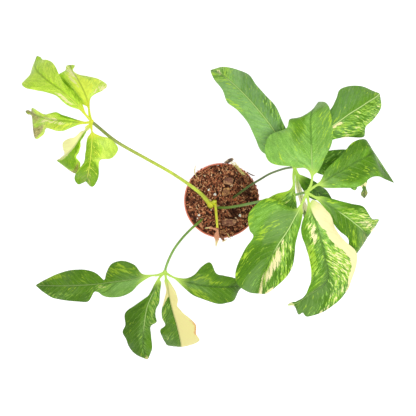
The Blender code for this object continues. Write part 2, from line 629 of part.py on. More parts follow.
def blade_solid(name, leaflet, phase):
    """Return the leaflet as one closed solid, thickest at its arm and along its rib."""
    rows = blade_surface(leaflet, phase)
    normals = surface_normals(rows)
    arm_rows = len(leaflet.arm) * STEPS_PER_RUNG
    build = bmesh.new()
    tops = []
    bottoms = []
    for index, (row, line) in enumerate(zip(rows, normals)):
        blade = min(1.0, index / arm_rows)
        rib_depth = ARM_THICKNESS + (BLADE_RIB - ARM_THICKNESS) * blade
        edge_depth = ARM_EDGE + (BLADE_EDGE - ARM_EDGE) * blade
        top = []
        bottom = []
        for share, point, normal in zip(ACROSS, row, line):
            depth = edge_depth + (rib_depth - edge_depth) * (1.0 - abs(share)) ** 2
            above = edge_depth / 2.0
            top.append(build.verts.new(point + normal * above))
            bottom.append(build.verts.new(point - normal * (depth - above)))
        tops.append(top)
        bottoms.append(bottom)
    rims = []
    for grid in (tops, bottoms):
        for near, far in zip(grid, grid[1:]):
            for j in range(len(ACROSS) - 1):
                build.faces.new((near[j], near[j + 1], far[j + 1]))
                build.faces.new((near[j], far[j + 1], far[j]))
        left = [row[0] for row in grid]
        right = [row[-1] for row in reversed(grid)]
        rims.append(left + grid[-1][1:-1] + right + grid[0][-2:0:-1])
    for j in range(len(rims[0])):
        after = (j + 1) % len(rims[0])
        build.faces.new((rims[0][j], rims[0][after], rims[1][after]))
        build.faces.new((rims[0][j], rims[1][after], rims[1][j]))
    return object_from(name, build)


def make_blades(name, leaf, finish):
    """Make the leaf's hub with all its leaflets as one body."""
    build = bmesh.new()
    place = Matrix.Translation(plan_to_space(*leaf.stalk[-1]))
    bmesh.ops.create_icosphere(build, subdivisions=2, radius=HUB_RADIUS, matrix=place)
    hub = object_from(name, build, finish)
    blades = []
    for index, leaflet in enumerate(leaf.leaflets):
        blades.append(blade_solid(name + "_blade", leaflet, 1.3 * index))
    combine(hub, blades, "UNION")
    return hub


def stalk_path(leaf):
    """Return the stalk's points, which stop just short of the hub, and their radii."""
    points = smooth_curve([plan_to_space(*point) for point in leaf.stalk], STALK_STEPS)
    hub = points[-1]
    short = (points[-2] - hub).normalized() * (HUB_RADIUS + SEAT_GAP)
    points = [point for point in points if (point - hub).length > HUB_RADIUS + 3.0 * SEAT_GAP]
    points.append(hub + short)
    foot, top = leaf.radii
    count = len(points) - 1
    radii = [top + (foot - top) * (1.0 - index / count) ** 2 for index in range(count + 1)]
    return points, radii


def make_stalk(name, leaf, finish):
    """Make the leaf's stalk, from its foot in the mix up to the hub."""
    points, radii = stalk_path(leaf)
    return tube(name, points, radii, STALK_SIDES, finish)


def pot_inner_radius(z):
    """Return the radius of the pot's inner wall at this height."""
    flare = RIM_DIAMETER / 2 - RIM_BAND_STEP - BASE_DIAMETER / 2
    return BASE_DIAMETER / 2 + flare * z / POT_HEIGHT - POT_WALL


def make_pot(finish):
    """Make the tapered pot with its rolled rim band, flat floor and drain holes."""
    rim = RIM_DIAMETER / 2
    base = BASE_DIAMETER / 2
    band_foot = POT_HEIGHT - RIM_BAND_HEIGHT
    body_top = pot_inner_radius(band_foot) + POT_WALL
    profile = (
        (0.0, 0.0),
        (base - POT_CORNER, 0.0),
        (base, POT_CORNER),
        (body_top, band_foot),
        (rim - RIM_BAND_CHAMFER, band_foot + RIM_BAND_CHAMFER),
        (rim, band_foot + RIM_BAND_CHAMFER * 4.0),
        (rim, POT_HEIGHT - RIM_ROLL),
        (rim - RIM_ROLL, POT_HEIGHT),
        (pot_inner_radius(POT_HEIGHT) + RIM_ROLL, POT_HEIGHT),
        (pot_inner_radius(POT_HEIGHT), POT_HEIGHT - RIM_ROLL),
        (pot_inner_radius(FLOOR_THICKNESS), FLOOR_THICKNESS + POT_CORNER / 2),
        (pot_inner_radius(FLOOR_THICKNESS) - POT_CORNER, FLOOR_THICKNESS),
        (0.0, FLOOR_THICKNESS),
    )
    build = bmesh.new()
    verts = [build.verts.new((radius, 0.0, z)) for radius, z in profile]
    edges = [build.edges.new(pair) for pair in zip(verts, verts[1:])]
    axis = (0.0, 0.0, 1.0)
    bmesh.ops.spin(build, geom=verts + edges, axis=axis, steps=POT_SIDES, angle=2.0 * math.pi)
    bmesh.ops.remove_doubles(build, verts=build.verts, dist=0.00001)
    pot = object_from("pot", build, finish)
    cutters = []
    for index in range(DRAIN_HOLES):
        angle = 2.0 * math.pi * (index + 0.5) / DRAIN_HOLES
        centre = Vector((math.cos(angle), math.sin(angle), 0.0)) * DRAIN_CIRCLE_RADIUS
        reach = Vector((0.0, 0.0, 2.0 * FLOOR_THICKNESS))
        ends = (centre - reach, centre + reach)
        cutters.append(tube("drain_cutter", ends, (DRAIN_HOLE_DIAMETER / 2,) * 2, ROUND_SIDES))
    combine(pot, cutters, "DIFFERENCE")


def mix_height(x, y):
    """Return the height of the mix at a point, with its lumps and hollows."""
    share = math.hypot(x, y) / (RIM_DIAMETER / 2)
    place = Vector((x, y, 0.0)) / MIX_LUMP_SIZE
    lumps = noise.noise(place) + 0.5 * noise.noise(place * 2.3)
    height = MIX_TOP_HEIGHT + MIX_CROWN * (1.0 - share * share) + MIX_LUMP_HEIGHT * lumps
    for plan_x, plan_y, radius, depth in MIX_HOLLOWS:
        centre = plan_to_space(plan_x, plan_y, MIX_TOP_HEIGHT / MM)
        distance = math.hypot(x - centre.x, y - centre.y) / radius
        height -= depth * math.exp(-2.0 * distance * distance)
    return height


def chip_outline(length, width, turn, seed, grow=0.0):
    """Return a chip's outline round its own centre, as broken bark has it."""
    draw = random.Random(seed)
    outline = []
    for corner in range(CHIP_SIDES):
        angle = 2.0 * math.pi * corner / CHIP_SIDES
        reach = 1.0 + draw.uniform(-0.14, 0.10)
        x = math.copysign(abs(math.cos(angle)) ** 0.7, math.cos(angle)) * (length / 2) * reach
        y = math.copysign(abs(math.sin(angle)) ** 0.7, math.sin(angle)) * (width / 2) * reach
        point = Vector((x, y, 0.0))
        point += point.normalized() * grow
        point.rotate(Matrix.Rotation(math.radians(turn), 3, "Z"))
        outline.append(point)
    return outline


def slab(name, outline, levels, centre, finish=None):
    """Return a closed slab through the outline at each level, given as height and scale."""
    build = bmesh.new()
    rings = []
    for height, scale in levels:
        level = centre + Vector((0.0, 0.0, height))
        rings.append([build.verts.new(level + point * scale) for point in outline])
    for low, high in zip(rings, rings[1:]):
        for corner in range(len(outline)):
            after = (corner + 1) % len(outline)
            build.faces.new((low[corner], low[after], high[after], high[corner]))
    build.faces.new(rings[0])
    build.faces.new(rings[-1])
    return object_from(name, build, finish)


def make_chips(finish):
    """Make the bark chips that lie on the mix, and return the cutters for their seats."""
    cutters = []
    for index, (plan_x, plan_y, length, width, thickness, turn) in enumerate(BARK_CHIPS):
        centre = plan_to_space(plan_x, plan_y, MIX_TOP_HEIGHT / MM)
        centre.z = mix_height(centre.x, centre.y) - CHIP_SINK
        outline = chip_outline(length, width, turn, index)
        levels = ((0.0, 0.94), (thickness * 0.3, 1.0), (thickness * 0.8, 0.95), (thickness, 0.80))
        slab("bark_chip_%d" % (index + 1), outline, levels, centre, finish)
        wide = chip_outline(length, width, turn, index, grow=SEAT_GAP * 1.5)
        cutters.append(slab("chip_cutter", wide, ((-SEAT_GAP, 1.0), (CUTTER_RISE, 1.0)), centre))
    return cutters


def make_rim_flake(finish):
    """Make the thin flake of bark that lies across the rim."""
    plan_x, plan_y, length, width, thickness, turn = RIM_FLAKE
    centre = plan_to_space(plan_x, plan_y, POT_HEIGHT / MM)
    centre.z = POT_HEIGHT + SEAT_GAP
    outline = chip_outline(length, width, turn, len(BARK_CHIPS))
    levels = ((0.0, 0.97), (thickness * 0.5, 1.0), (thickness, 0.9))
    slab("rim_flake", outline, levels, centre, finish)


def make_mix(finish, cutters):
    """Make the potting mix that fills the pot, with a seat for each chip and stalk."""
    build = bmesh.new()
    bottom_height = FLOOR_THICKNESS + SEAT_GAP
    wall_gap = SEAT_GAP * 1.2
    edge_radius = pot_inner_radius(MIX_TOP_HEIGHT - MIX_LUMP_HEIGHT) - wall_gap
    foot_radius = pot_inner_radius(bottom_height) - wall_gap - POT_CORNER
    angles = [2.0 * math.pi * corner / MIX_SIDES for corner in range(MIX_SIDES)]
    rings = []
    for radius in MIX_RING_RADII + (edge_radius,):
        ring = []
        for angle in angles:
            x = radius * math.cos(angle)
            y = radius * math.sin(angle)
            ring.append(build.verts.new((x, y, mix_height(x, y))))
        rings.append(ring)
    foot = []
    for angle in angles:
        place = (foot_radius * math.cos(angle), foot_radius * math.sin(angle), bottom_height)
        foot.append(build.verts.new(place))
    rings.append(foot)
    for inner, outer in zip(rings, rings[1:]):
        for corner in range(MIX_SIDES):
            after = (corner + 1) % MIX_SIDES
            build.faces.new((inner[corner], outer[corner], outer[after], inner[after]))
    centre = build.verts.new((0.0, 0.0, mix_height(0.0, 0.0)))
    for corner in range(MIX_SIDES):
        build.faces.new((centre, rings[0][corner], rings[0][(corner + 1) % MIX_SIDES]))
    build.faces.new(foot)
    mix = object_from("potting_mix", build, finish)
    combine(mix, cutters, "DIFFERENCE")


def stem_cutter(points, radii):
    """Return a cutter for the hole that a stem stands in, a seat gap wider all round."""
    low = points[0] - (points[1] - points[0]).normalized() * SEAT_GAP
    path = [low] + [point for point in points if point.z < MIX_TOP_HEIGHT + CUTTER_RISE]
    wide = [radius + SEAT_GAP for radius in [radii[0]] + list(radii)]
    return tube("stem_cutter", path, wide[:len(path)], ROUND_SIDES)


def main():
    """Clear the scene and make every piece."""
    for existing in list(bpy.data.objects):
        bpy.data.objects.remove(existing)

    terracotta = material("terracotta_plastic", (0.72, 0.27, 0.17), 0.55)
    bark_mix = material("bark_mix", (0.14, 0.07, 0.04), 0.95)
    bark = material("bark", (0.20, 0.11, 0.075), 0.9)
    lime_stalk = material("lime_stalk", (0.45, 0.52, 0.06), 0.4)
    green_stalk = material("green_stalk", (0.17, 0.30, 0.05), 0.4)
    lime_blade = material("lime_blade", (0.42, 0.60, 0.06), 0.4)
    green_blade = material("green_blade", (0.13, 0.30, 0.04), 0.38)
    pink_sheath = material("pink_sheath", (0.75, 0.42, 0.28), 0.6)

    make_pot(terracotta)

    shoot_points = smooth_curve([plan_to_space(*point) for point in SHOOT_STALK], STALK_STEPS)
    foot, top = SHOOT_RADII
    last = len(shoot_points) - 1
    shoot_radii = [foot + (top - foot) * index / last for index in range(last + 1)]
    crown_points = [plan_to_space(*point) for point in CROWN_POINTS]

    cutters = make_chips(bark)
    for leaf in (LOW_LEAF, UNDER_LEAF, TOP_LEAF):
        cutters.append(stem_cutter(*stalk_path(leaf)))
    cutters.append(stem_cutter(shoot_points, shoot_radii))
    cutters.append(stem_cutter(crown_points, CROWN_RADII))
    make_mix(bark_mix, cutters)
    make_rim_flake(bark)

    young_stalk = make_stalk("young_leaf_stalk", YOUNG_LEAF, lime_stalk)
    combine(young_stalk, [tube("crown", crown_points, CROWN_RADII, ROUND_SIDES)], "UNION")
    make_stalk("low_leaf_stalk", LOW_LEAF, green_stalk)
    make_stalk("under_leaf_stalk", UNDER_LEAF, green_stalk)
    make_stalk("top_leaf_stalk", TOP_LEAF, green_stalk)

    make_blades("young_leaf_blades", YOUNG_LEAF, lime_blade)
    make_blades("low_leaf_blades", LOW_LEAF, green_blade)
    make_blades("under_leaf_blades", UNDER_LEAF, green_blade)
    make_blades("top_leaf_blades", TOP_LEAF, green_blade)

    tube("new_shoot_stalk", shoot_points, shoot_radii, STALK_SIDES, lime_stalk)
    sheath = blade_solid("new_shoot_sheath", SHOOT_SHEATH, 0.0)
    sheath.data.materials.append(pink_sheath)
    combine(sheath, [blade_solid("sheath_tear", SHOOT_TEAR, 0.0)], "UNION")


main()
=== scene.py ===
"""The finished look of a potted anthurium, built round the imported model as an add-on run as a script.

The leaves are drawn on the same plan as the construction's: a plan point is (x, y, height in mm),
with y running down the drawing, and plan_to_space sets it on the sight line of an eye that is high
over the plant.
"""

from functools import partial
import json
import math
import random
from typing import NamedTuple

import bmesh
import bpy
import numpy
from mathutils import Matrix, Vector, noise

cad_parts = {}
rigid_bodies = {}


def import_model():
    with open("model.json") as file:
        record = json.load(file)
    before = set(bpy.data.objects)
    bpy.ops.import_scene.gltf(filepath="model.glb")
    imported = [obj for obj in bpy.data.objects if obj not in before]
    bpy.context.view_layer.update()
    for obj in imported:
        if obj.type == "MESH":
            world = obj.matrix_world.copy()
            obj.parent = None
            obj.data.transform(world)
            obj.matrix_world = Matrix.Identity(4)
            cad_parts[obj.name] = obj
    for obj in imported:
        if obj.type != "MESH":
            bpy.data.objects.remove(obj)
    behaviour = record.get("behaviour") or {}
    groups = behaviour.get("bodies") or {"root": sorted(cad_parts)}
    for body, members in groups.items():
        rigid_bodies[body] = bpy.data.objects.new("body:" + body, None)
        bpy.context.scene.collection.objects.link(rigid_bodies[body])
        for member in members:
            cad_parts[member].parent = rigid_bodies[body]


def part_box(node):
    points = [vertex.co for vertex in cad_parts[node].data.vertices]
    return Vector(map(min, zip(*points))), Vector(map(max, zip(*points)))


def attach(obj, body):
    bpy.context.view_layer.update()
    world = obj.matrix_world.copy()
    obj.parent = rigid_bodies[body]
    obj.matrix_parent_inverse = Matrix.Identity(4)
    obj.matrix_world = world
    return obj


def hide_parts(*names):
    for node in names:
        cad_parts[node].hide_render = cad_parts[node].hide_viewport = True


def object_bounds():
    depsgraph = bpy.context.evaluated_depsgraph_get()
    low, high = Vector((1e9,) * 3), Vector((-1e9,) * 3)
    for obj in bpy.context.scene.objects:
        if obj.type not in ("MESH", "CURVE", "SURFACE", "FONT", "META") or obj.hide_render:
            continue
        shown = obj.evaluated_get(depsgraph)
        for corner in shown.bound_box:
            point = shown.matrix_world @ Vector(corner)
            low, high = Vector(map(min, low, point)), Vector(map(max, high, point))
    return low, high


bl_info = {
    "name": "Potted anthurium",
    "version": (1, 0, 0),
    "blender": (4, 5, 0),
    "location": "3D View > Sidebar > Plant",
    "description": "Makes the leaves, stalks, pot and potting mix of a variegated anthurium",
    "category": "Add Mesh",
}

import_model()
CAD_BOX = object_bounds()

MM = 0.001

# The pot's sizes come from its solid, whose axis is the Z axis and whose underside is at Z = 0.
POT_LOW, POT_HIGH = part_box("pot")
RIM_RADIUS = (POT_HIGH.x - POT_LOW.x) / 2
POT_HEIGHT = POT_HIGH.z
BASE_RADIUS = 0.036
POT_WALL = 0.0011
FLOOR_THICKNESS = 0.0018
RIM_BAND_HEIGHT = 0.009
RIM_BAND_STEP = 0.0009
POT_CORNER = 0.0012
BAND_CORNER = 0.0006
POT_TURNS = 144
POT_SHARP = 35.0
DRAIN_HOLES = 6
DRAIN_HOLE_RADIUS = 0.004
DRAIN_CIRCLE_RADIUS = 0.024

# Plan drawing. The pot's rim is PLAN_RIM_DIAMETER units across and centred on PLAN_AXIS.
PLAN_AXIS = (221.5, 200.5)
PLAN_EYE = (208.0, 208.0)
PLAN_RIM_DIAMETER = 75.0
PLAN_WIDTH = 416.0
EYE_HEIGHT = 1.2
PLAN_UNIT = 2.0 * RIM_RADIUS / PLAN_RIM_DIAMETER
EYE_X = (PLAN_EYE[0] - PLAN_AXIS[0]) * PLAN_UNIT
EYE_Y = (PLAN_AXIS[1] - PLAN_EYE[1]) * PLAN_UNIT

# Potting mix: each hollow is plan x, plan y, radius and depth.
MIX_TOP_HEIGHT = 0.0835
MIX_CROWN = 0.0015
MIX_LUMP_HEIGHT = 0.0024
MIX_LUMP_SIZE = 0.011
MIX_HOLLOWS = (
    (234.0, 211.5, 0.0085, 0.0060),
    (246.0, 194.5, 0.0060, 0.0050),
    (236.0, 187.0, 0.0050, 0.0035),
    (222.5, 216.0, 0.0045, 0.0030),
)

# Stretches of the lip that the mix covers, as angles in degrees from the X axis.
LIP_SPILLS = ((4.0, 46.0), (44.0, 88.0), (122.0, 150.0), (262.0, 290.0))

# Painted shade on the crumbs in the dark hollows of the mix: plan x, plan y, radius and strength.
MIX_SHADES = (
    (234.0, 212.0, 0.0085, 0.85), (241.0, 180.5, 0.0055, 0.75), (247.0, 191.5, 0.0070, 0.75),
    (198.0, 199.5, 0.0060, 0.45), (222.5, 216.5, 0.0045, 0.45), (220.0, 233.0, 0.0040, 0.4),
)

# Each chip is plan x, plan y, length, width, thickness and turn in degrees.
BARK_CHIPS = (
    (228.5, 181.0, 0.0155, 0.0110, 0.0042, 12.0),
    (226.0, 192.0, 0.0140, 0.0112, 0.0046, 70.0),
    (229.0, 222.3, 0.0225, 0.0118, 0.0044, 3.0),
    (222.5, 231.6, 0.0095, 0.0062, 0.0040, 12.0),
)
CHIP_SINK = 0.0016
RIM_FLAKES = (
    (229.3, 160.7, 0.0150, 0.0058, 0.0014, 24.0),
    (222.6, 238.4, 0.0086, 0.0046, 0.0018, -62.0),
)
SEAT_GAP = 0.0003

# A chip's ledges: the share of its thickness and of its width that each one has.
CHIP_LEDGES = ((0.0, 0.94), (0.3, 1.0), (0.45, 0.96), (0.8, 0.94), (1.0, 0.80))
FLAKE_LEDGES = ((0.0, 0.97), (0.5, 1.0), (0.8, 0.92))

# Leaves.
HUB_RADIUS = 0.0028
HUB_RINGS = 10
HUB_SIDES = 20
ARM_WIDTH = 0.0030
ARM_THICKNESS = 0.0026
TIP_WIDTH = 0.0010
HALF_BULGE = 0.10
WAVE_HEIGHT = 0.0014
WAVE_RUNGS = 2.7
LEAFLET_PHASE = 1.3

# Fine surface of the leaves.
ROWS_PER_RUNG = 8
HALF_COLUMNS = 12
COLUMN_CROWDING = 1.2
BLADE_THICKNESS = 0.0006
RIB_DEPTH = 0.0006
VEIN_SLANT = 1.2
VEIN_DEPTH = 0.0003
SURFACE_RIPPLE = 0.00045
MARGIN_RIPPLE = 0.0006
RIB_GROOVE = 0.00025
RIB_REACH = 0.0011
GROOVE_REACH = 0.0008
VEIN_FADE = 0.003
RIPPLE_CELLS = 45.0
MARGIN_RIPPLE_TURNS = 2.3

# Stalks and sheath.
STALK_SIDES = 24
STALK_STEPS = 8
STALK_TAPER = 4
CROWN_STEPS = 6
SHEATH_FOLD = 0.35
SHEATH_THICKNESS = 0.0004
SHEATH_CRUMPLE = 0.0002
CRUMPLE_CELLS = 700.0

# Fine surface of the pot's filling.
CLOD_SIZE = 0.0032
CLOD_HEIGHT = 0.0009
MIX_RINGS = 70
MIX_TURNS = 200
STREW_RINGS = 60
STREW_TURNS = 150
LIP_STEPS = 40
WALL_CLEARANCE = 0.0008
CHIP_SIDES = 7
CHIP_STEPS = 8
CHIP_RAGGEDNESS = 0.07
CHIP_RINGS = 8
CHIP_RELIEF = 0.0009
LEDGE_RAGGEDNESS = 0.05
LEDGE_CELLS = 500.0
CHIP_COVER = 0.56
GRAIN_FLATNESS = 0.5
GRAIN_LIFT = 0.0013
STRAND_STEPS = 6
STRAND_SPREAD = 0.0018

# Loose bits: plan x, plan y and radius of each grain, and plan points of each strand.
PERLITE_GRAINS = (
    (217.8, 164.5, 0.0015), (208.6, 190.0, 0.0013), (215.0, 194.3, 0.0018), (199.0, 215.4, 0.0014),
    (197.5, 218.4, 0.0009), (240.0, 215.4, 0.0018), (207.0, 234.0, 0.0012),
)
ORANGE_BITS = ((235.0, 200.0, 0.0018), (240.0, 200.0, 0.0012), (221.5, 166.0, 0.0013))
STRAW_PATHS = (
    ((195.6, 165.5, 95), (194.6, 171.0, 92), (195.6, 175.0, 89), (197.8, 178.5, 86)),
    ((227.0, 233.0, 87), (229.0, 236.0, 89), (231.2, 239.4, 90)),
    ((222.0, 242.0, 89), (224.5, 240.6, 90), (227.0, 238.6, 90)),
)
MOSS_PATHS = (
    ((231.0, 161.5, 90), (234.5, 164.0, 90), (237.0, 167.5, 89), (240.5, 170.0, 88)),
    ((237.0, 165.0, 90), (239.5, 169.0, 89), (243.0, 171.5, 88), (246.0, 174.5, 87)),
    ((238.5, 170.5, 88), (241.5, 172.0, 88), (243.5, 175.0, 87), (246.5, 174.0, 87)),
)
TWIG_PATHS = (
    ((246.6, 171.6, 88), (250.2, 174.0, 90), (252.6, 175.1, 90), (255.0, 175.6, 90)),
)

# Stage.
FLOOR_SIZE = 8.0
FLOOR_GAP = 0.0002
FLOOR_GLOW = 0.85
KEY_DIRECTION = (0.12, -0.3, 1.0)
FILL_DIRECTION = (0.5, 0.7, 0.9)
LIGHT_DISTANCE = 1.7
KEY_SIZE = 1.1
FILL_SIZE = 1.6

# The light and dark kinds are partly the leaves' own pale and deep greens and partly painted light and
# painted shade on halves that face towards and away from the key light; the grey-green sheen patches are a
# painted reflection of the sky.
PAINT_KINDS = ("cream", "mottle", "lime", "light", "dark", "bloom", "dry", "blush", "pale_rib")
PATCH_END_BLUR = 0.08
PATCH_SIDE_BLUR = 0.14


class Leaf(NamedTuple):
    """One compound leaf: its stalk's points up to the hub, and the rows and the paint of each leaflet.

    A leaflet has a row for each point from the hub to the tip. A row of three numbers is a plan point, on
    the arm or at the tip. A row of nine crosses the blade: the rib's plan point, then the left and the
    right edge as seen when looking to the tip, each as plan x, plan y and its height over the rib in mm.

    Its paint has patches of each kind. A patch is the shares of the blade's length where it starts and
    ends, its lowest and highest share of the half width, from -1 at the right edge through 0 at the rib
    to 1 at the left one, and its strength. A start of 0 and an end of 1 reach past the blade. The ends of
    a patch run along the side veins.
    """

    radii: tuple
    stalk: tuple
    leaflets: tuple
    paint: tuple


YOUNG_LEAF = Leaf((0.0034, 0.0020), (
    (210, 204, 89), (206, 199.5, 98), (200.6, 193.5, 108), (189, 184.5, 124), (170, 172, 147),
    (146, 158.5, 169), (117, 142, 184), (98.4, 127.2, 187), (91.5, 121.5, 190),
), ((
    (88, 117.3, 192), (84.5, 113.3, 194), (81, 108.5, 196, 79, 109.6, -1, 82.5, 104.5, -1),
    (75.5, 103, 198, 71, 107, -2, 78.5, 97.5, -2), (69, 97, 200, 64, 102.5, -3, 72.5, 90.5, -3),
    (62, 91, 200, 57, 96.3, -4, 65, 84.3, -3), (55, 86, 198, 47, 92.3, -4, 60.2, 77.5, -3),
    (48, 81, 194, 36, 90.2, -5, 57, 69.5, -3), (42, 76, 188, 26, 88.3, -5, 52.5, 62.7, -4),
    (37.5, 71.5, 181, 21.6, 83.2, -6, 47.3, 60.2, -5), (35, 66.5, 172, 28.3, 80, -9, 42.8, 59.8, -4),
    (35.4, 61.5, 164, 33.3, 65, -5, 40.6, 57.3, -3), (36.8, 56.2, 158),
), (
    (89.6, 114.5, 188), (88.6, 107, 186), (87.4, 101, 184, 82.6, 104.2, -2, 90.2, 99.5, -1),
    (85.5, 95, 183, 75.6, 97.3, -5, 93.5, 95, -2), (83, 89.5, 181, 69.2, 90.6, -8, 102, 91, -4),
    (80.5, 84.5, 178, 63.8, 84.3, -9, 107, 85.3, -6), (78, 80, 174, 60, 78.6, -9, 99, 79.3, -4),
    (75.5, 76, 169, 59.4, 74.6, -6, 87, 76.4, -2), (73, 72.5, 163, 64.5, 71.2, -3, 77.4, 74, -1),
    (71.2, 69.2, 157, 66, 68.2, -2, 73, 70.4, -1), (70.6, 67.2, 153, 66.6, 66, -1, 74.8, 65.6, -1),
    (69.8, 65, 149),
), (
    (88, 122.6, 190), (84, 122.8, 190), (79, 122.3, 191, 79.5, 124.5, -1, 79, 120.2, -1),
    (72, 121.5, 191, 72.5, 127, -2, 70, 117.3, -1), (65, 121, 190, 65, 130.5, -4, 62, 114.8, -1),
    (58, 120.5, 187, 58, 131, -4, 56, 112.2, 1), (51, 119.5, 183, 51.5, 129.3, -4, 49.5, 113.6, 1),
    (44.5, 118, 178, 46.5, 128.6, -8, 44, 114.2, 1), (39, 116, 171, 42.4, 135.4, -24, 38.5, 111.3, 1),
    (34, 114.3, 163, 34.9, 138, -26, 32.2, 107.8, 1), (31, 113.2, 157, 32, 117, -8, 31, 111.4, 0),
    (27.8, 111.9, 151, 27.6, 114.2, -1, 28.4, 110, 0), (25.6, 111.4, 147),
), (
    (90.4, 123.6, 189), (89.4, 125.4, 189), (88, 127.6, 188, 89.6, 128.4, -1, 85.4, 126.8, 0),
    (85.4, 131, 186, 86.4, 131.9, -1, 84.4, 130.2, 0), (82.5, 134.5, 184, 84.2, 136, -2, 80.5, 131.7, 1),
    (79.3, 139.5, 182, 80.6, 141, -3, 74.5, 137.3, 1), (76, 144.5, 179, 80.7, 146.5, -6, 68, 138.8, 1),
    (72.5, 148.8, 175, 78.8, 152, -8, 63, 142.5, -1), (69, 152.5, 170, 76, 157.5, -10, 63.3, 148.3, -2),
    (65.5, 155.8, 163, 80.6, 163.8, -14, 64.6, 154, -2),
    (61.8, 158.6, 155, 75.3, 173.5, -16, 61, 157.6, -1), (56.8, 160.5, 147),
), (
    (91.4, 127.5, 191), (92.3, 132.5, 192), (92.2, 138, 192, 101, 136.2, -2, 87.8, 137.3, -2),
    (91.8, 144, 191, 111, 139.2, -4, 86.2, 143.5, -3), (91.3, 150, 188, 118, 148.5, -6, 85.8, 150, -3),
    (90.8, 155.5, 184, 111.5, 158, -8, 85, 156.5, -3), (90.2, 161, 178, 100.5, 159.8, -5, 83.8, 162, -4),
    (89.3, 167, 171, 98.6, 167.5, -6, 80, 168, -5), (88.3, 173, 162, 99, 174.3, -7, 75.6, 174, -6),
    (87.4, 178, 153, 96.8, 181.5, -7, 74.4, 179, -7), (86.8, 180.8, 146, 91.8, 186.6, -6, 78.6, 184.4, -6),
    (85.5, 181.3, 140),
)), ({
    "cream": ((0.1, 0.36, 0.35, 0.85, 0.55), (0.5, 0.75, 0.9, 1.3, 0.5)),
    "lime": ((0.4, 0.8, -0.6, -0.1, 0.4), (0.28, 0.5, -1.3, -0.7, 0.5)),
    "light": ((0, 1, 0, 1.3, 0.5), (0.3, 0.75, -1.3, -0.2, 0.6)),
    "dark": ((0, 0.26, -1.3, -0.5, 0.6), (0.92, 1, -1.3, 1.3, 0.6)),
    "pale_rib": ((0, 0.25, -1.3, 1.3, 0.8),),
}, {
    "cream": ((0.28, 0.7, 0.1, 0.5, 0.47), (0.6, 0.88, -0.1, 1, 0.52), (0.12, 0.4, -1.1, -0.6, 0.5)),
    "lime": ((0, 0.8, -0.5, 0.55, 1.3), (0.2, 0.5, -1, -0.5, 0.8)),
    "light": ((0, 1, -1.3, 0.7, 1.2),),
    "dark": ((0.08, 0.46, 0.66, 1.3, 0.75),),
    "dry": ((0.9, 1, -1.3, 1.3, 0.6),),
}, {
    "cream": ((0.28, 0.55, -0.35, 0.1, 0.55), (0.15, 0.6, 0.05, 0.45, 0.5)),
    "lime": ((0.1, 0.6, 0.2, 1, 0.8), (0.6, 0.8, -0.6, 0.6, 0.8)),
    "light": ((0.05, 0.62, 0.1, 1.3, 0.8), (0.28, 0.7, -1.3, -0.1, 0.8)),
    "dark": (
        (0, 0.25, -1.3, -0.5, 0.9), (0.3, 0.42, -1.3, -0.75, 0.6), (0.1, 0.7, 0.1, 0.9, 0.5),
        (0.72, 1, -1.3, -0.4, 0.8),
    ),
    "dry": (
        (0.36, 0.6, -0.6, -0.2, 0.4), (0.5, 0.75, -0.2, 0.5, 0.4), (0.66, 1, -1.3, 0.3, 0.72),
        (0.6, 0.95, 0.55, 1.3, 1.3),
    ),
}, {
    "cream": ((0, 1, -1.3, 0.03, 1.2), (0, 0.12, 0, 1.3, 0.9)),
    "light": ((0.3, 0.7, 0.6, 1.3, 0.4),),
    "dark": ((0.2, 1, 0.05, 0.75, 1),),
    "dry": ((0.78, 0.94, 0.72, 1.3, 0.75),),
}, {
    "lime": ((0.05, 0.6, 0, 0.45, 0.7), (0.5, 0.68, -0.2, 0.3, 0.7)),
    "light": ((0, 0.46, 0.42, 1.3, 1.1),),
    "dark": ((0, 0.5, -1.3, -0.05, 0.6), (0.05, 0.5, 0, 0.36, 0.7), (0.4, 1, -1.3, 1.3, 1.5)),
    "dry": ((0.62, 0.84, -0.6, 0.3, 0.36), (0.84, 1, 0.3, 1.3, 0.4)),
    "pale_rib": ((0, 0.75, -1.3, 1.3, 0.9),),
}))

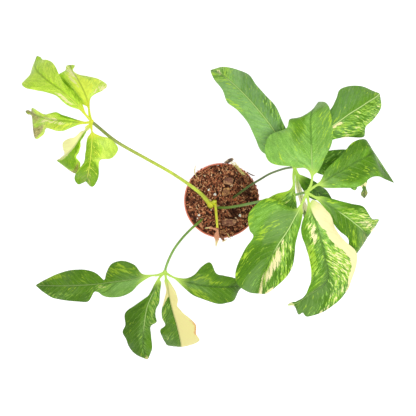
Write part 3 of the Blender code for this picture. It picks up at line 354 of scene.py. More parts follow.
LOW_LEAF = Leaf((0.0018, 0.0016), (
    (203.6, 218, 62), (202.6, 219, 80), (198.5, 222.5, 91), (190.5, 229.5, 104), (182, 238.5, 117),
    (174.5, 248.5, 130), (169.5, 258, 141), (166.2, 266.5, 148), (165, 272, 151),
), ((
    (158, 275, 153), (150, 275.8, 155), (143, 277, 156, 139, 284, -3, 141.5, 273.5, -1),
    (134, 279, 157, 131, 292, -5, 134, 264.8, -4), (124, 280.5, 157, 121, 296.5, -6, 122, 260.8, -6),
    (115, 281.8, 156, 112, 297.2, -6, 111.5, 264.2, -6), (108, 282.7, 154, 104, 296.2, -5, 106.5, 273, -4),
    (101.5, 283.6, 152, 97.5, 292, -4, 104.3, 280, -2), (95, 284.3, 149, 93.8, 292.5, -4, 97.5, 274.3, -3),
    (86, 285, 144, 88, 301.5, -7, 88, 270.2, -5), (76, 285.5, 138, 77, 301.2, -6, 78, 269.6, -5),
    (65, 285.8, 130, 64, 300, -5, 66, 271.2, -4), (54, 285.8, 121, 53, 298, -4, 55, 275, -3),
    (45, 285.6, 113, 44, 292.3, -3, 45.5, 279.8, -2), (36, 285.3, 104),
), (
    (161.5, 275.5, 150), (158.8, 279, 148), (157, 284, 146, 161.2, 283, -2, 154, 285, -2),
    (154, 291, 144, 159.9, 293, -4, 150.5, 292.5, -2),
    (150.5, 298.5, 141, 159.2, 302.5, -6, 146.5, 297.2, -2),
    (147.3, 306.5, 137, 156, 309, -7, 135, 305.3, -5), (145.5, 315, 132, 155.3, 316, -9, 125.3, 313, -7),
    (144.5, 322.5, 127, 156.5, 321.8, -13, 125.5, 324.5, -7),
    (143.7, 330, 121, 150.5, 326.5, -3, 122.6, 332, -7),
    (143.2, 338, 114, 151.2, 337, -4, 126.5, 339.5, -6),
    (143.2, 345.5, 106, 152.2, 347.5, -4, 129.3, 347.5, -5),
    (144.5, 352.5, 99, 150.6, 353, -2, 136, 354.5, -3), (147.5, 359.3, 92),
), (
    (165.5, 275.5, 150), (166, 278.5, 149), (167.2, 283, 147, 169.8, 282, -1, 164.5, 282, -1),
    (168.2, 291, 144, 175.5, 291.5, 1, 166.2, 290.5, -2),
    (169.6, 299, 140, 177.8, 299.5, 1, 164.2, 299.5, -3),
    (171.5, 307, 135, 177.3, 306.5, 0, 161.8, 310, -4), (173.7, 315, 129, 183.5, 313.3, 1, 162.4, 318, -4),
    (175.8, 322, 123, 190.5, 318.8, 1, 165.2, 325.2, -4),
    (177.8, 329.5, 116, 195.8, 325.5, 0, 160.4, 329.8, -6), (179.3, 336, 109, 196, 333.5, -1, 162, 336, -6),
    (180.5, 342, 101, 199.5, 340.3, -3, 164.8, 342, -5), (181, 346.6, 93, 191, 344.8, -2, 168.5, 345.5, -4),
    (180.5, 346.8, 84),
), (
    (169.5, 275.3, 153), (175.5, 278.3, 154), (183, 281, 155, 186, 278.4, -2, 183.5, 287, -3),
    (191, 283, 155, 194.5, 274.5, -3, 193, 295, -5), (199, 284.8, 153, 202.5, 265.8, -5, 202, 298.8, -6),
    (207, 286, 150, 210.5, 262.8, -6, 211, 301.7, -7), (215, 286.8, 146, 215.9, 273, -3, 219, 304, -7),
    (223, 287, 140, 224, 275.7, -3, 226.5, 303, -6), (231, 286.6, 133, 233, 277.6, -2, 234, 300, -5),
    (238, 285.8, 125, 240, 280.5, -1, 238.5, 291, -3), (243, 285.6, 118),
)), ({
    "cream": ((0.34, 0.46, 0.12, 0.6, 0.5),),
    "mottle": ((0.3, 0.48, 0.15, 0.75, 0.9), (0.32, 0.52, 0.06, 0.8, 1.2), (0.72, 0.88, 0.5, 1, 0.9)),
    "lime": (
        (0.08, 0.36, -0.95, -0.3, 0.85), (0.5, 0.72, -0.55, -0.1, 0.45), (0.74, 0.94, -1.1, -0.6, 1),
        (0.97, 1, -1.3, 1.3, 1),
    ),
    "light": ((0, 0.45, 0.05, 1.3, 1),),
    "dark": ((0, 0.4, -1.3, -0.05, 0.35), (0.55, 0.7, 0.5, 1.3, 0.6), (0.84, 0.97, -0.6, 0.9, 0.6)),
    "pale_rib": ((0, 1, -1.3, 1.3, 0.3),),
}, {
    "cream": ((0.94, 1, -0.6, 0.9, 0.7),),
    "mottle": ((0.04, 0.55, 0.15, 1, 0.85), (0.45, 0.95, -0.25, 0.3, 0.5)),
    "lime": ((0.42, 0.52, 0.5, 1.3, 0.9), (0.9, 1, -1.3, -0.2, 0.9)),
    "light": ((0, 0.4, 0.1, 1.3, 0.4), (0.4, 0.95, -0.3, 0.35, 0.4)),
    "dark": ((0.25, 1, -1.3, -0.2, 0.7),),
    "pale_rib": ((0.1, 0.6, -1.3, 1.3, 0.6),),
}, {
    "cream": ((0, 1, 0.02, 1.3, 1.3), (0, 0.2, -1.3, 0.1, 0.9)),
    "mottle": ((0.15, 0.42, -1.3, -0.1, 0.8), (0.7, 0.9, -1, -0.3, 0.35)),
    "lime": ((0.6, 0.72, -0.85, -0.3, 0.6),),
    "dark": ((0.3, 1, -1.3, -0.1, 0.45),),
    "dry": ((0.95, 1, -1.3, 0, 0.9),),
    "blush": ((0.5, 0.74, 0.9, 1.3, 1.1),),
}, {
    "lime": ((0.1, 0.62, 0.12, 0.5, 0.9), (0.05, 0.38, -1, -0.3, 0.9)),
    "light": ((0.1, 0.4, -0.5, 0, 0.3),),
    "dark": ((0.3, 0.62, -1.3, -0.5, 0.3), (0.7, 1, -1.3, 1.3, 1.3)),
    "dry": ((0.84, 1, -1.3, 1.3, 0.4),),
}))

UNDER_LEAF = Leaf((0.0017, 0.0013), (
    (231, 199.2, 62), (232.5, 198.1, 82), (238.5, 193.8, 99), (249.5, 185.8, 127), (260, 179.5, 152),
    (270, 173.7, 178), (283, 169, 208), (290, 167.6, 226), (294.5, 167.2, 236),
), ((
    (292.5, 162, 239), (289.5, 156.5, 242), (286, 150, 245, 275, 156.5, -3, 293, 144.5, -2),
    (279, 138.5, 248, 262, 151.8, -7, 288.3, 133.5, -3), (271, 126, 249, 255.5, 138.5, -7, 282, 121, -4),
    (262, 114.5, 248, 248.5, 124, -6, 275.8, 107, -6), (251.5, 102, 244, 238, 110.5, -5, 266, 95.8, -6),
    (242, 92, 238, 227.3, 102, -5, 256.7, 86, -6), (233, 83.5, 230, 222.3, 89.8, -4, 248.5, 74.6, -6),
    (224, 76.5, 220, 215.5, 81.2, -3, 236, 69.4, -5), (217, 72.2, 211, 212, 75.2, -2, 223, 67.1, -3),
    (210.8, 70.2, 203),
), (
    (300, 159.5, 240), (307, 150, 244), (320, 136, 248, 315, 127, -4, 324, 143.5, -4),
    (331, 127, 250, 330, 110.3, -5, 335, 139, -5), (341, 120, 249, 335.8, 100, -6, 349, 137.2, -5),
    (350, 113.5, 246, 339.5, 90, -7, 363.5, 136.8, -7), (359, 108, 240, 350, 85.8, -8, 365.2, 127, -5),
    (368, 102, 232, 362, 86.5, -6, 373.5, 119, -6), (376, 97, 223, 371, 90, -3, 381, 107.5, -5),
    (379.8, 93.6, 216),
), (
    (299.5, 166.8, 238), (304.5, 166.6, 240), (311, 166, 241, 309.5, 160.5, -2, 312.5, 170.5, -2),
    (322, 164, 242, 322, 152.8, -5, 321.5, 174.5, -5), (335, 162, 239, 336.5, 149.8, -6, 333.5, 176.5, -6),
    (347, 165, 230, 351, 151, -7, 344.5, 183, -6), (356.5, 174, 216, 362.5, 164, -6, 354, 190.3, -5),
    (361.8, 182.5, 205, 367, 178.5, -3, 358.8, 185.8, -2),
    (364.4, 188.2, 198, 366.2, 187.8, -1, 362.6, 188.9, -1),
    (364, 193.4, 190, 367.4, 193, -1, 360.8, 194.2, -1), (364.4, 198, 182),
), (
    (296.3, 171.5, 235), (298.5, 175, 233), (301, 178.5, 230, 304, 176, -2, 299, 181.5, -2),
    (307, 184.5, 224, 311.5, 179.5, -3, 302.5, 189, -3), (314.5, 190, 215, 321, 186, -4, 309, 197, -4),
    (322.5, 194.8, 204, 326.8, 190.6, -3, 317.5, 200.3, -3), (332.5, 200.6, 192),
), (
    (295.7, 171.5, 233), (296.6, 176.5, 229), (297.5, 182, 223, 299.6, 181.5, -8, 295.6, 183.5, -5),
    (300, 194, 208, 302.5, 193.5, -11, 298.2, 195.5, -8),
    (303, 206, 191, 307.3, 206.5, -10, 301.2, 207.5, -8), (305.5, 214.5, 177, 308, 214, -5, 303.6, 216, -4),
    (306, 222, 164),
), (
    (293.6, 176, 239), (293.8, 185.5, 240), (293.6, 191, 240, 295, 190, -1, 288, 191, -2),
    (292.6, 197, 239, 295.8, 197.5, -2, 276, 194, -4), (291, 206, 236, 297, 207, -4, 266, 201, -6),
    (287, 218, 230, 296, 218, -5, 262, 214, -7), (281, 231, 220, 290, 231, -5, 262, 230, -6),
    (274, 243, 207, 281, 244, -4, 265, 242, -4), (268, 252, 195),
)), ({
    "cream": ((0.3, 0.36, 0.95, 1.3, 0.6), (0.8, 0.92, -0.4, 0.2, 0.5)),
    "mottle": ((0.12, 0.42, -1.1, -0.5, 0.7), (0.74, 1, -1.3, 1.3, 0.7)),
    "lime": ((0.42, 0.58, 0.72, 1.3, 1.1), (0.68, 1, -1.3, 1.3, 0.78), (0.84, 0.95, 0.4, 1.3, 1.6)),
    "light": ((0, 1, 0, 1.3, 0.9), (0.2, 0.6, -1.3, -0.8, 0.5), (0.6, 1, -1.3, 1.3, 1.8)),
    "dark": ((0, 0.62, -1.3, -0.1, 0.35),),
    "bloom": ((0.8, 1, -1.3, 1.3, 0.6), (0, 0.8, -1.3, 0, 0.7), (0, 0.8, 0, 1.3, 0.65)),
    "pale_rib": ((0.1, 0.75, -1.3, 1.3, 0.65),),
}, {
    "cream": ((0.12, 0.3, -0.22, 0, 0.8), (0.18, 0.3, -1.3, -0.9, 0.7)),
    "mottle": ((0, 1, -1.3, -0.03, 0.95),),
    "lime": (
        (0.15, 0.35, 0.05, 0.3, 0.8), (0.1, 0.35, -0.45, -0.06, 1.3), (0.5, 0.95, -0.5, -0.03, 0.9),
        (0.88, 1, 0.2, 1.3, 0.8),
    ),
    "light": ((0.85, 1, -1.3, 0, 0.6),),
    "dark": ((0, 1, 0, 1.3, 0.5), (0, 1, -1.3, -0.1, 0.5)),
    "bloom": ((0.1, 0.7, 0.1, 1.3, 0.5),),
    "pale_rib": ((0.05, 1, -1.3, 1.3, 1),),
}, {
    "cream": ((0.6, 0.69, -1.3, 1.3, 0.9),),
    "mottle": ((0, 0.45, -1.1, 1.1, 0.6),),
    "dark": ((0, 1, -1.3, 1.3, 0.8), (0.74, 1, -1.3, 1.3, 1)),
    "dry": ((0.74, 1, -1.3, 1.3, 0.5),),
}, {
    "mottle": ((0.4, 1, -1, 1, 0.4),),
    "dark": ((0, 1, -1.3, 1.3, 0.9),),
}, {
    "cream": ((0, 0.42, -1.3, 1.3, 0.6), (0.34, 0.6, -1.3, 1.3, 0.9)),
    "lime": ((0, 0.6, -1.3, 1.3, 1.4),),
    "dark": ((0.62, 1, -1.3, 1.3, 1),),
    "dry": ((0.6, 1, -1.3, 1.3, 0.5),),
}, {
    "cream": ((0.4, 0.9, 0.2, 0.8, 0.45),),
    "mottle": ((0, 1, -0.5, 1.3, 1),),
    "lime": ((0, 0.6, -1.1, -0.3, 1.1),),
    "dark": ((0.3, 0.9, -1.3, -0.1, 0.5),),
}))

TOP_LEAF = Leaf((0.0020, 0.0016), (
    (215, 207.2, 62), (217.5, 207.3, 82), (225, 207.7, 96), (235, 206.4, 116), (246.5, 204.3, 139),
    (257, 202, 159), (272, 199, 186), (284, 197, 205), (293, 195.3, 221), (300, 193.8, 243),
    (304.8, 192.6, 261), (306.8, 192.2, 270),
), ((
    (311, 184.5, 273), (312.2, 176, 275), (312.2, 170, 276, 306, 168.5, -2, 317.5, 172, -2),
    (311.9, 163, 277, 292, 166.2, -5, 321.8, 165, -3), (311.6, 154, 277, 271, 162.8, -7, 325.5, 156, -4),
    (311.3, 145, 276, 264.8, 150, -8, 331, 146, -5), (311, 137, 274, 269.8, 135.6, -7, 332.8, 136, -5),
    (310.7, 129, 272, 286, 128.8, -5, 332, 125, -5), (310.3, 121, 269, 289.6, 119.5, -4, 330.8, 115, -4),
    (311.5, 112, 264, 299.5, 117.4, -4, 329, 107.3, -3),
    (314.5, 107.2, 254, 312, 110.5, -3, 324.8, 102.3, -2), (318.5, 102, 243),
), (
    (312.5, 187.8, 273), (318, 184.5, 275), (323, 181.5, 276, 321, 179.8, -1, 324, 187.6, -2),
    (330, 177.5, 277, 326, 170, -3, 334, 188, -4), (339, 172, 277, 334, 162, -4, 344, 187.9, -6),
    (348, 166.7, 276, 343, 153.5, -5, 354, 187.7, -8), (357, 161.5, 273, 351, 144, -6, 362, 184.8, -9),
    (366, 157, 268, 358.6, 139.8, -6, 370, 178, -8), (373.5, 153.5, 261, 366.4, 140.4, -5, 378, 176.3, -8),
    (380, 166, 244, 372.5, 150, -3, 385.5, 179.5, -4), (393.7, 182.5, 228),
), (
    (311, 195, 270), (315.5, 197.3, 270), (321, 200.5, 270, 323, 196.5, -1, 319, 201.7, -1),
    (327.5, 204.5, 269, 332, 198.8, -2, 325, 208.3, -3), (334, 208.5, 267, 342, 201.5, -3, 331, 216.8, -5),
    (341, 213, 263, 352, 203.8, -4, 334.5, 225, -6), (348, 218, 257, 363, 206.5, -5, 340.5, 232, -6),
    (355, 223.5, 249, 369.3, 215.5, -5, 348.2, 238.2, -6),
    (362, 229.5, 239, 373, 219.2, -4, 349.5, 247, -5),
    (366.8, 236.8, 227, 378.5, 220.6, -3, 356.6, 253.3, -3), (366, 237.5, 216),
), (
    (307.8, 198, 270), (308.8, 203.5, 271), (311, 209.5, 271, 313.5, 199.8, -2, 306.3, 212.5, -2),
    (315, 219.5, 269, 324, 207.2, -3, 302.3, 221.5, -4),
    (318.5, 229.5, 266, 331.5, 217, -4, 301.2, 231, -5), (321, 239, 262, 336, 229.5, -5, 303, 239.5, -5),
    (323.3, 249, 257, 345, 241.2, -6, 306.5, 248.5, -5),
    (325.5, 259, 250, 355.5, 250.7, -7, 309.6, 260, -5), (328, 270, 241, 357, 262, -8, 311, 272, -5),
    (327.5, 279.5, 231, 351.8, 278.5, -8, 310.8, 282, -5),
    (322, 286.5, 220, 347.2, 290.8, -8, 307, 291.8, -4),
    (314, 291.8, 209, 338.3, 300.8, -7, 302.5, 298, -3),
    (306, 296.8, 199, 323.5, 311.2, -6, 297, 301.2, -2),
    (300.5, 300.6, 192, 308, 316.8, -6, 296.2, 301.4, -1),
    (298.4, 302, 190, 302.6, 312.7, -5, 294.9, 301.9, -1),
    (296.4, 303.1, 188, 298.4, 314.4, -5, 293.5, 302.1, -1),
    (294.2, 303.8, 186, 295.2, 306.8, -2, 292, 302.1, -1),
    (291.6, 304, 184, 291.9, 305.4, -1, 290.6, 302.7, -1), (287.8, 305.2, 181),
), (
    (304, 199, 270), (301, 205.5, 269), (298.5, 211, 268, 302.5, 214, -2, 294.5, 209.3, -2),
    (294, 219, 266, 300.3, 225.5, -3, 285, 205, -4), (289, 228.5, 262, 297.5, 235.5, -4, 266.5, 198.2, -6),
    (283.5, 237, 258, 295, 246, -5, 249.5, 212.5, -8), (279, 243.5, 254, 294.5, 255, -6, 249.5, 229, -7),
    (275, 250.5, 249, 292.5, 266.5, -7, 253.2, 236.8, -5), (271, 257.5, 243, 287, 276, -8, 244.5, 250, -6),
    (267, 266, 235, 279, 284, -8, 236, 270, -8), (264, 274.5, 226, 271.5, 290.3, -7, 237, 283.3, -7),
    (261.5, 284, 216, 265.5, 293.6, -4, 248, 291.9, -5), (258.5, 293.6, 208),
)), ({
    "lime": (
        (0.06, 0.2, 0.82, 1.3, 0.9), (0.3, 0.7, 0.1, 0.6, 0.45), (0.56, 0.7, -1.3, -0.82, 1.5),
        (0.42, 0.49, -1.3, -0.92, 1.8), (0.3, 0.8, -0.9, -0.3, 0.5),
    ),
    "light": (
        (0, 0.5, 0.12, 1.3, 0.9), (0, 0.28, -1.3, 0.2, 0.9), (0.15, 0.8, -1.3, -0.2, 0.6),
        (0, 0.8, -0.35, 0.3, 0.6), (0.82, 1, -1.3, 0.1, 0.6),
    ),
    "dark": ((0.5, 0.75, 0.2, 1.3, 0.2), (0.12, 0.2, 0.3, 0.6, 0.7), (0.84, 1, 0.2, 1.3, 0.9)),
    "bloom": ((0.1, 0.8, -1.3, -0.2, 0.55), (0.82, 1, -1.3, 0.1, 0.7)),
    "pale_rib": ((0, 0.3, -1.3, 1.3, 0.6),),
}, {
    "lime": ((0.2, 0.6, 0.55, 1.3, 0.45), (0.3, 0.66, -0.7, -0.3, 0.5)),
    "light": ((0, 0.45, -1.3, -0.6, 0.5), (0, 0.3, 0.1, 1.3, 0.3), (0.5, 0.8, 0.1, 1, 0.3)),
    "dark": (
        (0.1, 0.6, 0, 0.45, 0.6), (0.3, 0.85, 0.4, 1.3, 0.8), (0.2, 0.8, -0.78, -0.05, 0.8),
        (0.7, 1, -1.3, 0.3, 0.9),
    ),
}, {
    "cream": ((0.6, 0.86, 0.15, 0.75, 0.44), (0.9, 1, 0.3, 1.3, 0.9)),
    "mottle": ((0.45, 0.94, 0.05, 1, 1.3),),
    "lime": ((0.05, 0.2, 0.3, 0.8, 0.8), (0.3, 0.6, 0.1, 0.7, 0.8), (0.6, 0.8, -0.75, -0.35, 0.9)),
    "light": ((0, 0.3, -0.6, 0.6, 0.3),),
    "dark": ((0.2, 0.85, -1.3, -0.1, 1.1), (0.3, 0.95, 0.5, 1.3, 1.1), (0.82, 1, -1.3, 0.2, 1.2)),
    "bloom": ((0, 0.3, -0.8, 0.6, 0.7), (0.78, 1, -1.3, 0.1, 0.9)),
    "dry": ((0.84, 1, -1.3, 0.1, 0.3),),
    "pale_rib": ((0.35, 0.75, -1.3, 1.3, 0.9),),
}, {
    "cream": (
        (0, 0.13, 0.03, 1.3, 1.3), (0, 0.18, 0.14, 1.3, 1.3), (0.15, 0.28, 0.44, 1.3, 1.3),
        (0.24, 0.37, 0.66, 1.3, 1.3), (0.34, 0.46, 0.82, 1.3, 1.3), (0.24, 0.42, 0.2, 0.6, 0.42),
        (0.52, 0.57, 0.45, 0.7, 0.8), (0.48, 0.53, 0.72, 0.98, 0.7), (0.58, 0.63, 0.78, 1.3, 0.8),
        (0.08, 0.23, -0.55, -0.12, 0.6), (0.88, 1, -1.3, 1.3, 1),
    ),
    "mottle": (
        (0.23, 0.5, 0.03, 0.9, 1.6), (0.5, 0.62, 0.3, 1.1, 0.8), (0.02, 0.24, -0.7, -0.05, 1.3),
        (0.23, 0.41, -0.9, -0.2, 0.8),
    ),
    "lime": ((0.08, 0.24, 0.1, 0.5, 0.8), (0.2, 0.41, -1.3, -0.5, 1.2), (0.34, 0.49, -0.8, -0.1, 0.6)),
    "light": ((0.06, 0.24, 0.04, 0.5, 2),),
    "dark": ((0.24, 1, -0.3, 0.3, 0.9), (0.41, 1, -1.3, 1.3, 1.5)),
    "bloom": ((0.45, 0.8, -1.3, 1.3, 0.8), (0.1, 0.45, -0.45, 0.25, 0.7)),
    "pale_rib": ((0.53, 1, -1.3, 1.3, 0.7),),
}, {
    "cream": (
        (0.39, 0.45, -0.95, -0.65, 0.55), (0.28, 0.55, 0, 0.22, 0.55), (0.45, 0.84, 0.07, 0.5, 0.55),
        (0.34, 0.52, 0.55, 0.7, 0.45), (0.76, 0.9, 0.86, 1.3, 1), (0.93, 1, -0.1, 1.3, 1),
    ),
    "mottle": (
        (0.84, 1, -0.8, -0.1, 0.5), (0.1, 0.5, 0.1, 0.8, 1), (0.3, 0.9, 0.02, 0.55, 1.2),
        (0.3, 0.9, 0.55, 1.1, 0.6),
    ),
    "lime": (
        (0.08, 0.26, -1.3, -0.85, 1.2), (0.3, 0.4, -1.3, -0.9, 1.5), (0.26, 0.4, -0.75, -0.2, 0.7),
        (0.38, 0.48, -1, -0.4, 0.9), (0.55, 0.72, -1.3, -0.7, 0.7), (0.45, 0.85, 0.03, 0.4, 1.4),
        (0.5, 0.75, 0.78, 1.3, 1.1),
    ),
    "light": ((0.1, 0.42, -1.3, -0.45, 0.5),),
    "dark": ((0.46, 0.78, -1.3, -0.05, 0.9), (0.74, 1, -1.3, -0.05, 1), (0.3, 0.95, 0.35, 1.3, 1.2)),
    "bloom": ((0, 0.45, -0.6, 0.1, 1), (0.74, 0.95, -1.3, -0.1, 1)),
    "pale_rib": ((0, 0.5, -1.3, 1.3, 1),),
}))

SHOOT_STALK = (
    (216.2, 200.8, 62), (215.4, 202, 83), (215.6, 206, 93), (216.2, 214, 101), (216.8, 221, 105),
    (217.35, 227.7, 106),
)
SHOOT_RADII = (0.0020, 0.0015)
SHOOT_SHEATH = (
    (217.6, 229.6, 106), (217.5, 231.5, 106), (217.3, 234, 106, 219.6, 233.5, -2, 214, 234, -2),
    (217, 237.5, 104, 219.8, 237.5, -2, 213.8, 238, -2),
    (216.6, 241.5, 100, 218.4, 241.5, -1, 215, 241.5, -1), (216, 246.5, 94),
)
SHOOT_TEAR = (
    (217.6, 229.9, 106), (215.6, 229.3, 106), (212.8, 228.2, 105, 212.8, 229.3, -1, 213, 227.3, -1),
    (209.5, 227.7, 103, 209.5, 228.4, 0, 209.5, 227.1, 0), (205, 228, 100),
)

# The swollen sheath at the young leaf's foot, with a radius at each point.
CROWN_POINTS = (
    (211, 205.6, 62), (210.8, 205.3, 80), (210.4, 204.7, 89), (209.9, 203.9, 94), (209.5, 203.3, 97),
)
CROWN_RADII = (0.0034, 0.0046, 0.0044, 0.0034, 0.0013)

# The knob of old sheath between the crown and the new shoot.
KNOB_POINTS = (
    (211.6, 204.6, 86), (212.6, 203.4, 89), (213.8, 202.2, 91), (215.2, 201.8, 92), (216, 202.8, 92),
)
KNOB_RADII = (0.0020, 0.0029, 0.0029, 0.0025, 0.0008)


def plan_to_space(x, y, height):
    """Return the point at this height in mm that the eye sees at plan point (x, y)."""
    z = height * MM
    reach = PLAN_UNIT * (EYE_HEIGHT - z) / (EYE_HEIGHT - POT_HEIGHT)
    return Vector((EYE_X + (x - PLAN_EYE[0]) * reach, EYE_Y - (y - PLAN_EYE[1]) * reach, z))


def smooth_curve(points, steps):
    """Return points on a smooth curve through the given ones, with steps to each gap."""
    ends = [points[0] * 2 - points[1]] + list(points) + [points[-1] * 2 - points[-2]]
    curve = []
    for before, start, end, after in zip(ends, ends[1:], ends[2:], ends[3:]):
        for step in range(steps):
            t = step / steps
            bend = (before * 2 - start * 5 + end * 4 - after) * t * t
            twist = (start * 3 - before - end * 3 + after) * t * t * t
            curve.append((start * 2 + (end - before) * t + bend + twist) * 0.5)
    curve.append(points[-1].copy())
    return curve


def smooth_step(low, high, value):
    """Return 0 below low and 1 above high, with a smooth ramp between them."""
    share = min(1.0, max(0.0, (value - low) / (high - low)))
    return share * share * (3.0 - 2.0 * share)


def box_share(value, low, high, blur):
    """Return 1 between low and high and 0 outside them, with blurred ends."""
    return smooth_step(low - blur, low + blur, value) * smooth_step(-high - blur, -high + blur, -value)


def neighbours(ring):
    """Return each point of a closed ring with the one after it."""
    return zip(ring, ring[1:] + ring[:1])


def round_steps(count):
    """Return the cosine and sine of each step round a circle."""
    angles = [math.tau * step / count for step in range(count)]
    return [(math.cos(angle), math.sin(angle)) for angle in angles]


def add_object(name, data):
    """Return a new object in the scene that holds the data."""
    made = bpy.data.objects.new(name, data)
    bpy.context.scene.collection.objects.link(made)
    return made


def add_mesh(name, build):
    """Return a new object holding the bmesh as it is."""
    mesh = bpy.data.meshes.new(name)
    build.to_mesh(mesh)
    build.free()
    return add_object(name, mesh)


def turn_outwards(mesh):
    """Turn the mesh's faces outwards."""
    build = bmesh.new()
    build.from_mesh(mesh)
    bmesh.ops.recalc_face_normals(build, faces=build.faces)
    build.to_mesh(mesh)
    build.free()


def shade(mesh, sharp):
    """Shade the mesh smooth, but for its edges sharper than this angle in degrees."""
    mesh.shade_smooth()
    mesh.set_sharp_from_angle(angle=math.radians(sharp))


def new_object(name, build, finish, sharp=40.0):
    """Return a new smooth object holding the bmesh, with its faces turned outwards."""
    bmesh.ops.recalc_face_normals(build, faces=build.faces)
    made = add_mesh(name, build)
    shade(made.data, sharp)
    made.data.materials.append(finish)
    return made


class Shell:
    """A mesh as it is gathered: points, faces, UV places and attributes, one of each per point."""

    def __init__(self, attributes):
        self.points = []
        self.faces = []
        self.places = []
        self.values = {name: [] for name in attributes}

    def add_point(self, point, place, values):
        """Add a point with its UV place and its attribute values, and return its index."""
        self.points.append(point)
        self.places.append(place)
        for name, line in self.values.items():
            line.append(values.get(name, 0.0))
        return len(self.points) - 1

    def add_band(self, low, high):
        """Add the faces between two closed rings of points."""
        for (near, near_after), (far, far_after) in zip(neighbours(low), neighbours(high)):
            self.faces.append((near, near_after, far_after, far))

    def add_closed_grid(self, tops, bottoms):
        """Add the faces of two grids of points and of the band that joins their rims."""
        rims = []
        for grid, step in ((tops, 1), (bottoms, -1)):
            for near, far in zip(grid, grid[1:]):
                for j in range(len(near) - 1):
                    self.faces.append((near[j], near[j + 1], far[j + 1], far[j])[::step])
            left = [row[0] for row in grid]
            right = [row[-1] for row in reversed(grid)]
            rims.append(left + grid[-1][1:-1] + right + grid[0][-2:0:-1])
        self.add_band(*rims)

    def make_object(self, name, finish, sharp=60.0):
        """Return a new object holding the mesh, with its faces pointing outwards."""
        mesh = bpy.data.meshes.new(name)
        mesh.from_pydata(self.points, [], self.faces)
        turn_outwards(mesh)
        corners = numpy.zeros(len(mesh.loops), dtype=numpy.int32)
        mesh.loops.foreach_get("vertex_index", corners)
        uv_layer = mesh.uv_layers.new(name="leaf")
        uv_layer.data.foreach_set("uv", numpy.array(self.places, dtype=numpy.float32)[corners].ravel())
        for attribute, line in self.values.items():
            layer = mesh.attributes.new(attribute, "FLOAT", "POINT")
            layer.data.foreach_set("value", numpy.array(line, dtype=numpy.float32))
        shade(mesh, sharp)
        mesh.materials.append(finish)
        return add_object(name, mesh)


def place_piece(piece, slot, *nodes):
    """Fix a finished piece to the plant's one body, and let it stand for the nodes if given."""
    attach(piece, "root")
    if nodes:
        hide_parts(*nodes)


def leaflet_rungs(leaflet):
    """Return the rib's, left edge's and right edge's points in space, from the hub to the tip."""
    ribs = [plan_to_space(*row[:3]) for row in leaflet]
    lefts = []
    rights = []
    for row, point, after in zip(leaflet, ribs, ribs[1:]):
        if len(row) == 3:
            side = Vector((0.0, 0.0, 1.0)).cross(after - point).normalized() * ARM_WIDTH / 2
            lefts.append(point + side)
            rights.append(point - side)
        else:
            lefts.append(plan_to_space(row[3], row[4], row[2] + row[5]))
            rights.append(plan_to_space(row[6], row[7], row[2] + row[8]))
    side = (lefts[-1] - rights[-1]).normalized() * TIP_WIDTH / 2
    lefts.append(ribs[-1] + side)
    rights.append(ribs[-1] - side)
    return ribs, lefts, rights


def column_shares():
    """Return the columns' shares of the half width, from the left edge to the right, crowded at the rib."""
    columns = range(HALF_COLUMNS, -HALF_COLUMNS - 1, -1)
    return [math.copysign((abs(column) / HALF_COLUMNS) ** COLUMN_CROWDING, column) for column in columns]


def blade_point(rib, left, right, share, rung, arm_rungs, last_rung, phase):
    """Return the point of the blade's middle surface, with its bulge, its waves and its margin's ripple."""
    span = (left if share > 0.0 else right) - rib
    out = abs(share)
    turn = math.tau * rung / WAVE_RUNGS + phase + (0.0 if share > 0.0 else 2.0)
    fade = min(1.0, max(0.0, (rung - arm_rungs) / 2.0), (last_rung - rung) / 2.0)
    lift = HALF_BULGE * span.length * 4.0 * out * (1.0 - out)
    lift += WAVE_HEIGHT * fade * out * out * math.sin(turn)
    lift += MARGIN_RIPPLE * fade * out ** 5 * math.sin(MARGIN_RIPPLE_TURNS * turn + phase)
    return rib + span * out + Vector((0.0, 0.0, lift))


class Blade:
    """A blade's middle surface: rows of points across it, and what goes with each row and column."""

    def __init__(self, leaflet, phase):
        ribs, lefts, rights = (smooth_curve(line, ROWS_PER_RUNG) for line in leaflet_rungs(leaflet))
        self.arm_rungs = sum(len(row) == 3 for row in leaflet) - 1
        self.last_rung = (len(ribs) - 1) / ROWS_PER_RUNG
        self.shares = column_shares()
        self.rungs = [index / ROWS_PER_RUNG for index in range(len(ribs))]
        self.alongs = [0.0]
        for rib, after in zip(ribs, ribs[1:]):
            self.alongs.append(self.alongs[-1] + (after - rib).length)
        self.rows = [
            [blade_point(*spots, share, rung, self.arm_rungs, self.last_rung, phase) for share in self.shares]
            for rung, *spots in zip(self.rungs, ribs, lefts, rights)
        ]

    def normals(self):
        """Return the upper side's normal at each point."""
        grid = numpy.array([[tuple(point) for point in row] for row in self.rows])
        normals = numpy.cross(numpy.gradient(grid, axis=1), numpy.gradient(grid, axis=0))
        return normals / numpy.maximum(numpy.linalg.norm(normals, axis=2, keepdims=True), 1e-12)

    def lines(self):
        """Return each row's rung, arc length and points, and the points' normals."""
        return zip(self.rungs, self.alongs, self.rows, self.normals())


def patch_values(patches, share_along, share, slope):
    """Return each kind's paint at a place on the blade, slope being the side veins' run along it."""
    values = {}
    for kind, spots in patches.items():
        values[kind] = 0.0
        for start, end, low, high, strength in spots:
            middle = abs(max(low, -1.0) + min(high, 1.0)) / 2
            place = share_along - slope * (abs(share) - middle)
            here = box_share(place, start or -9.0, 9.0 if end == 1 else end, PATCH_END_BLUR)
            here *= box_share(share, low, high, PATCH_SIDE_BLUR) * strength
            values[kind] = max(values[kind], here)
    return values


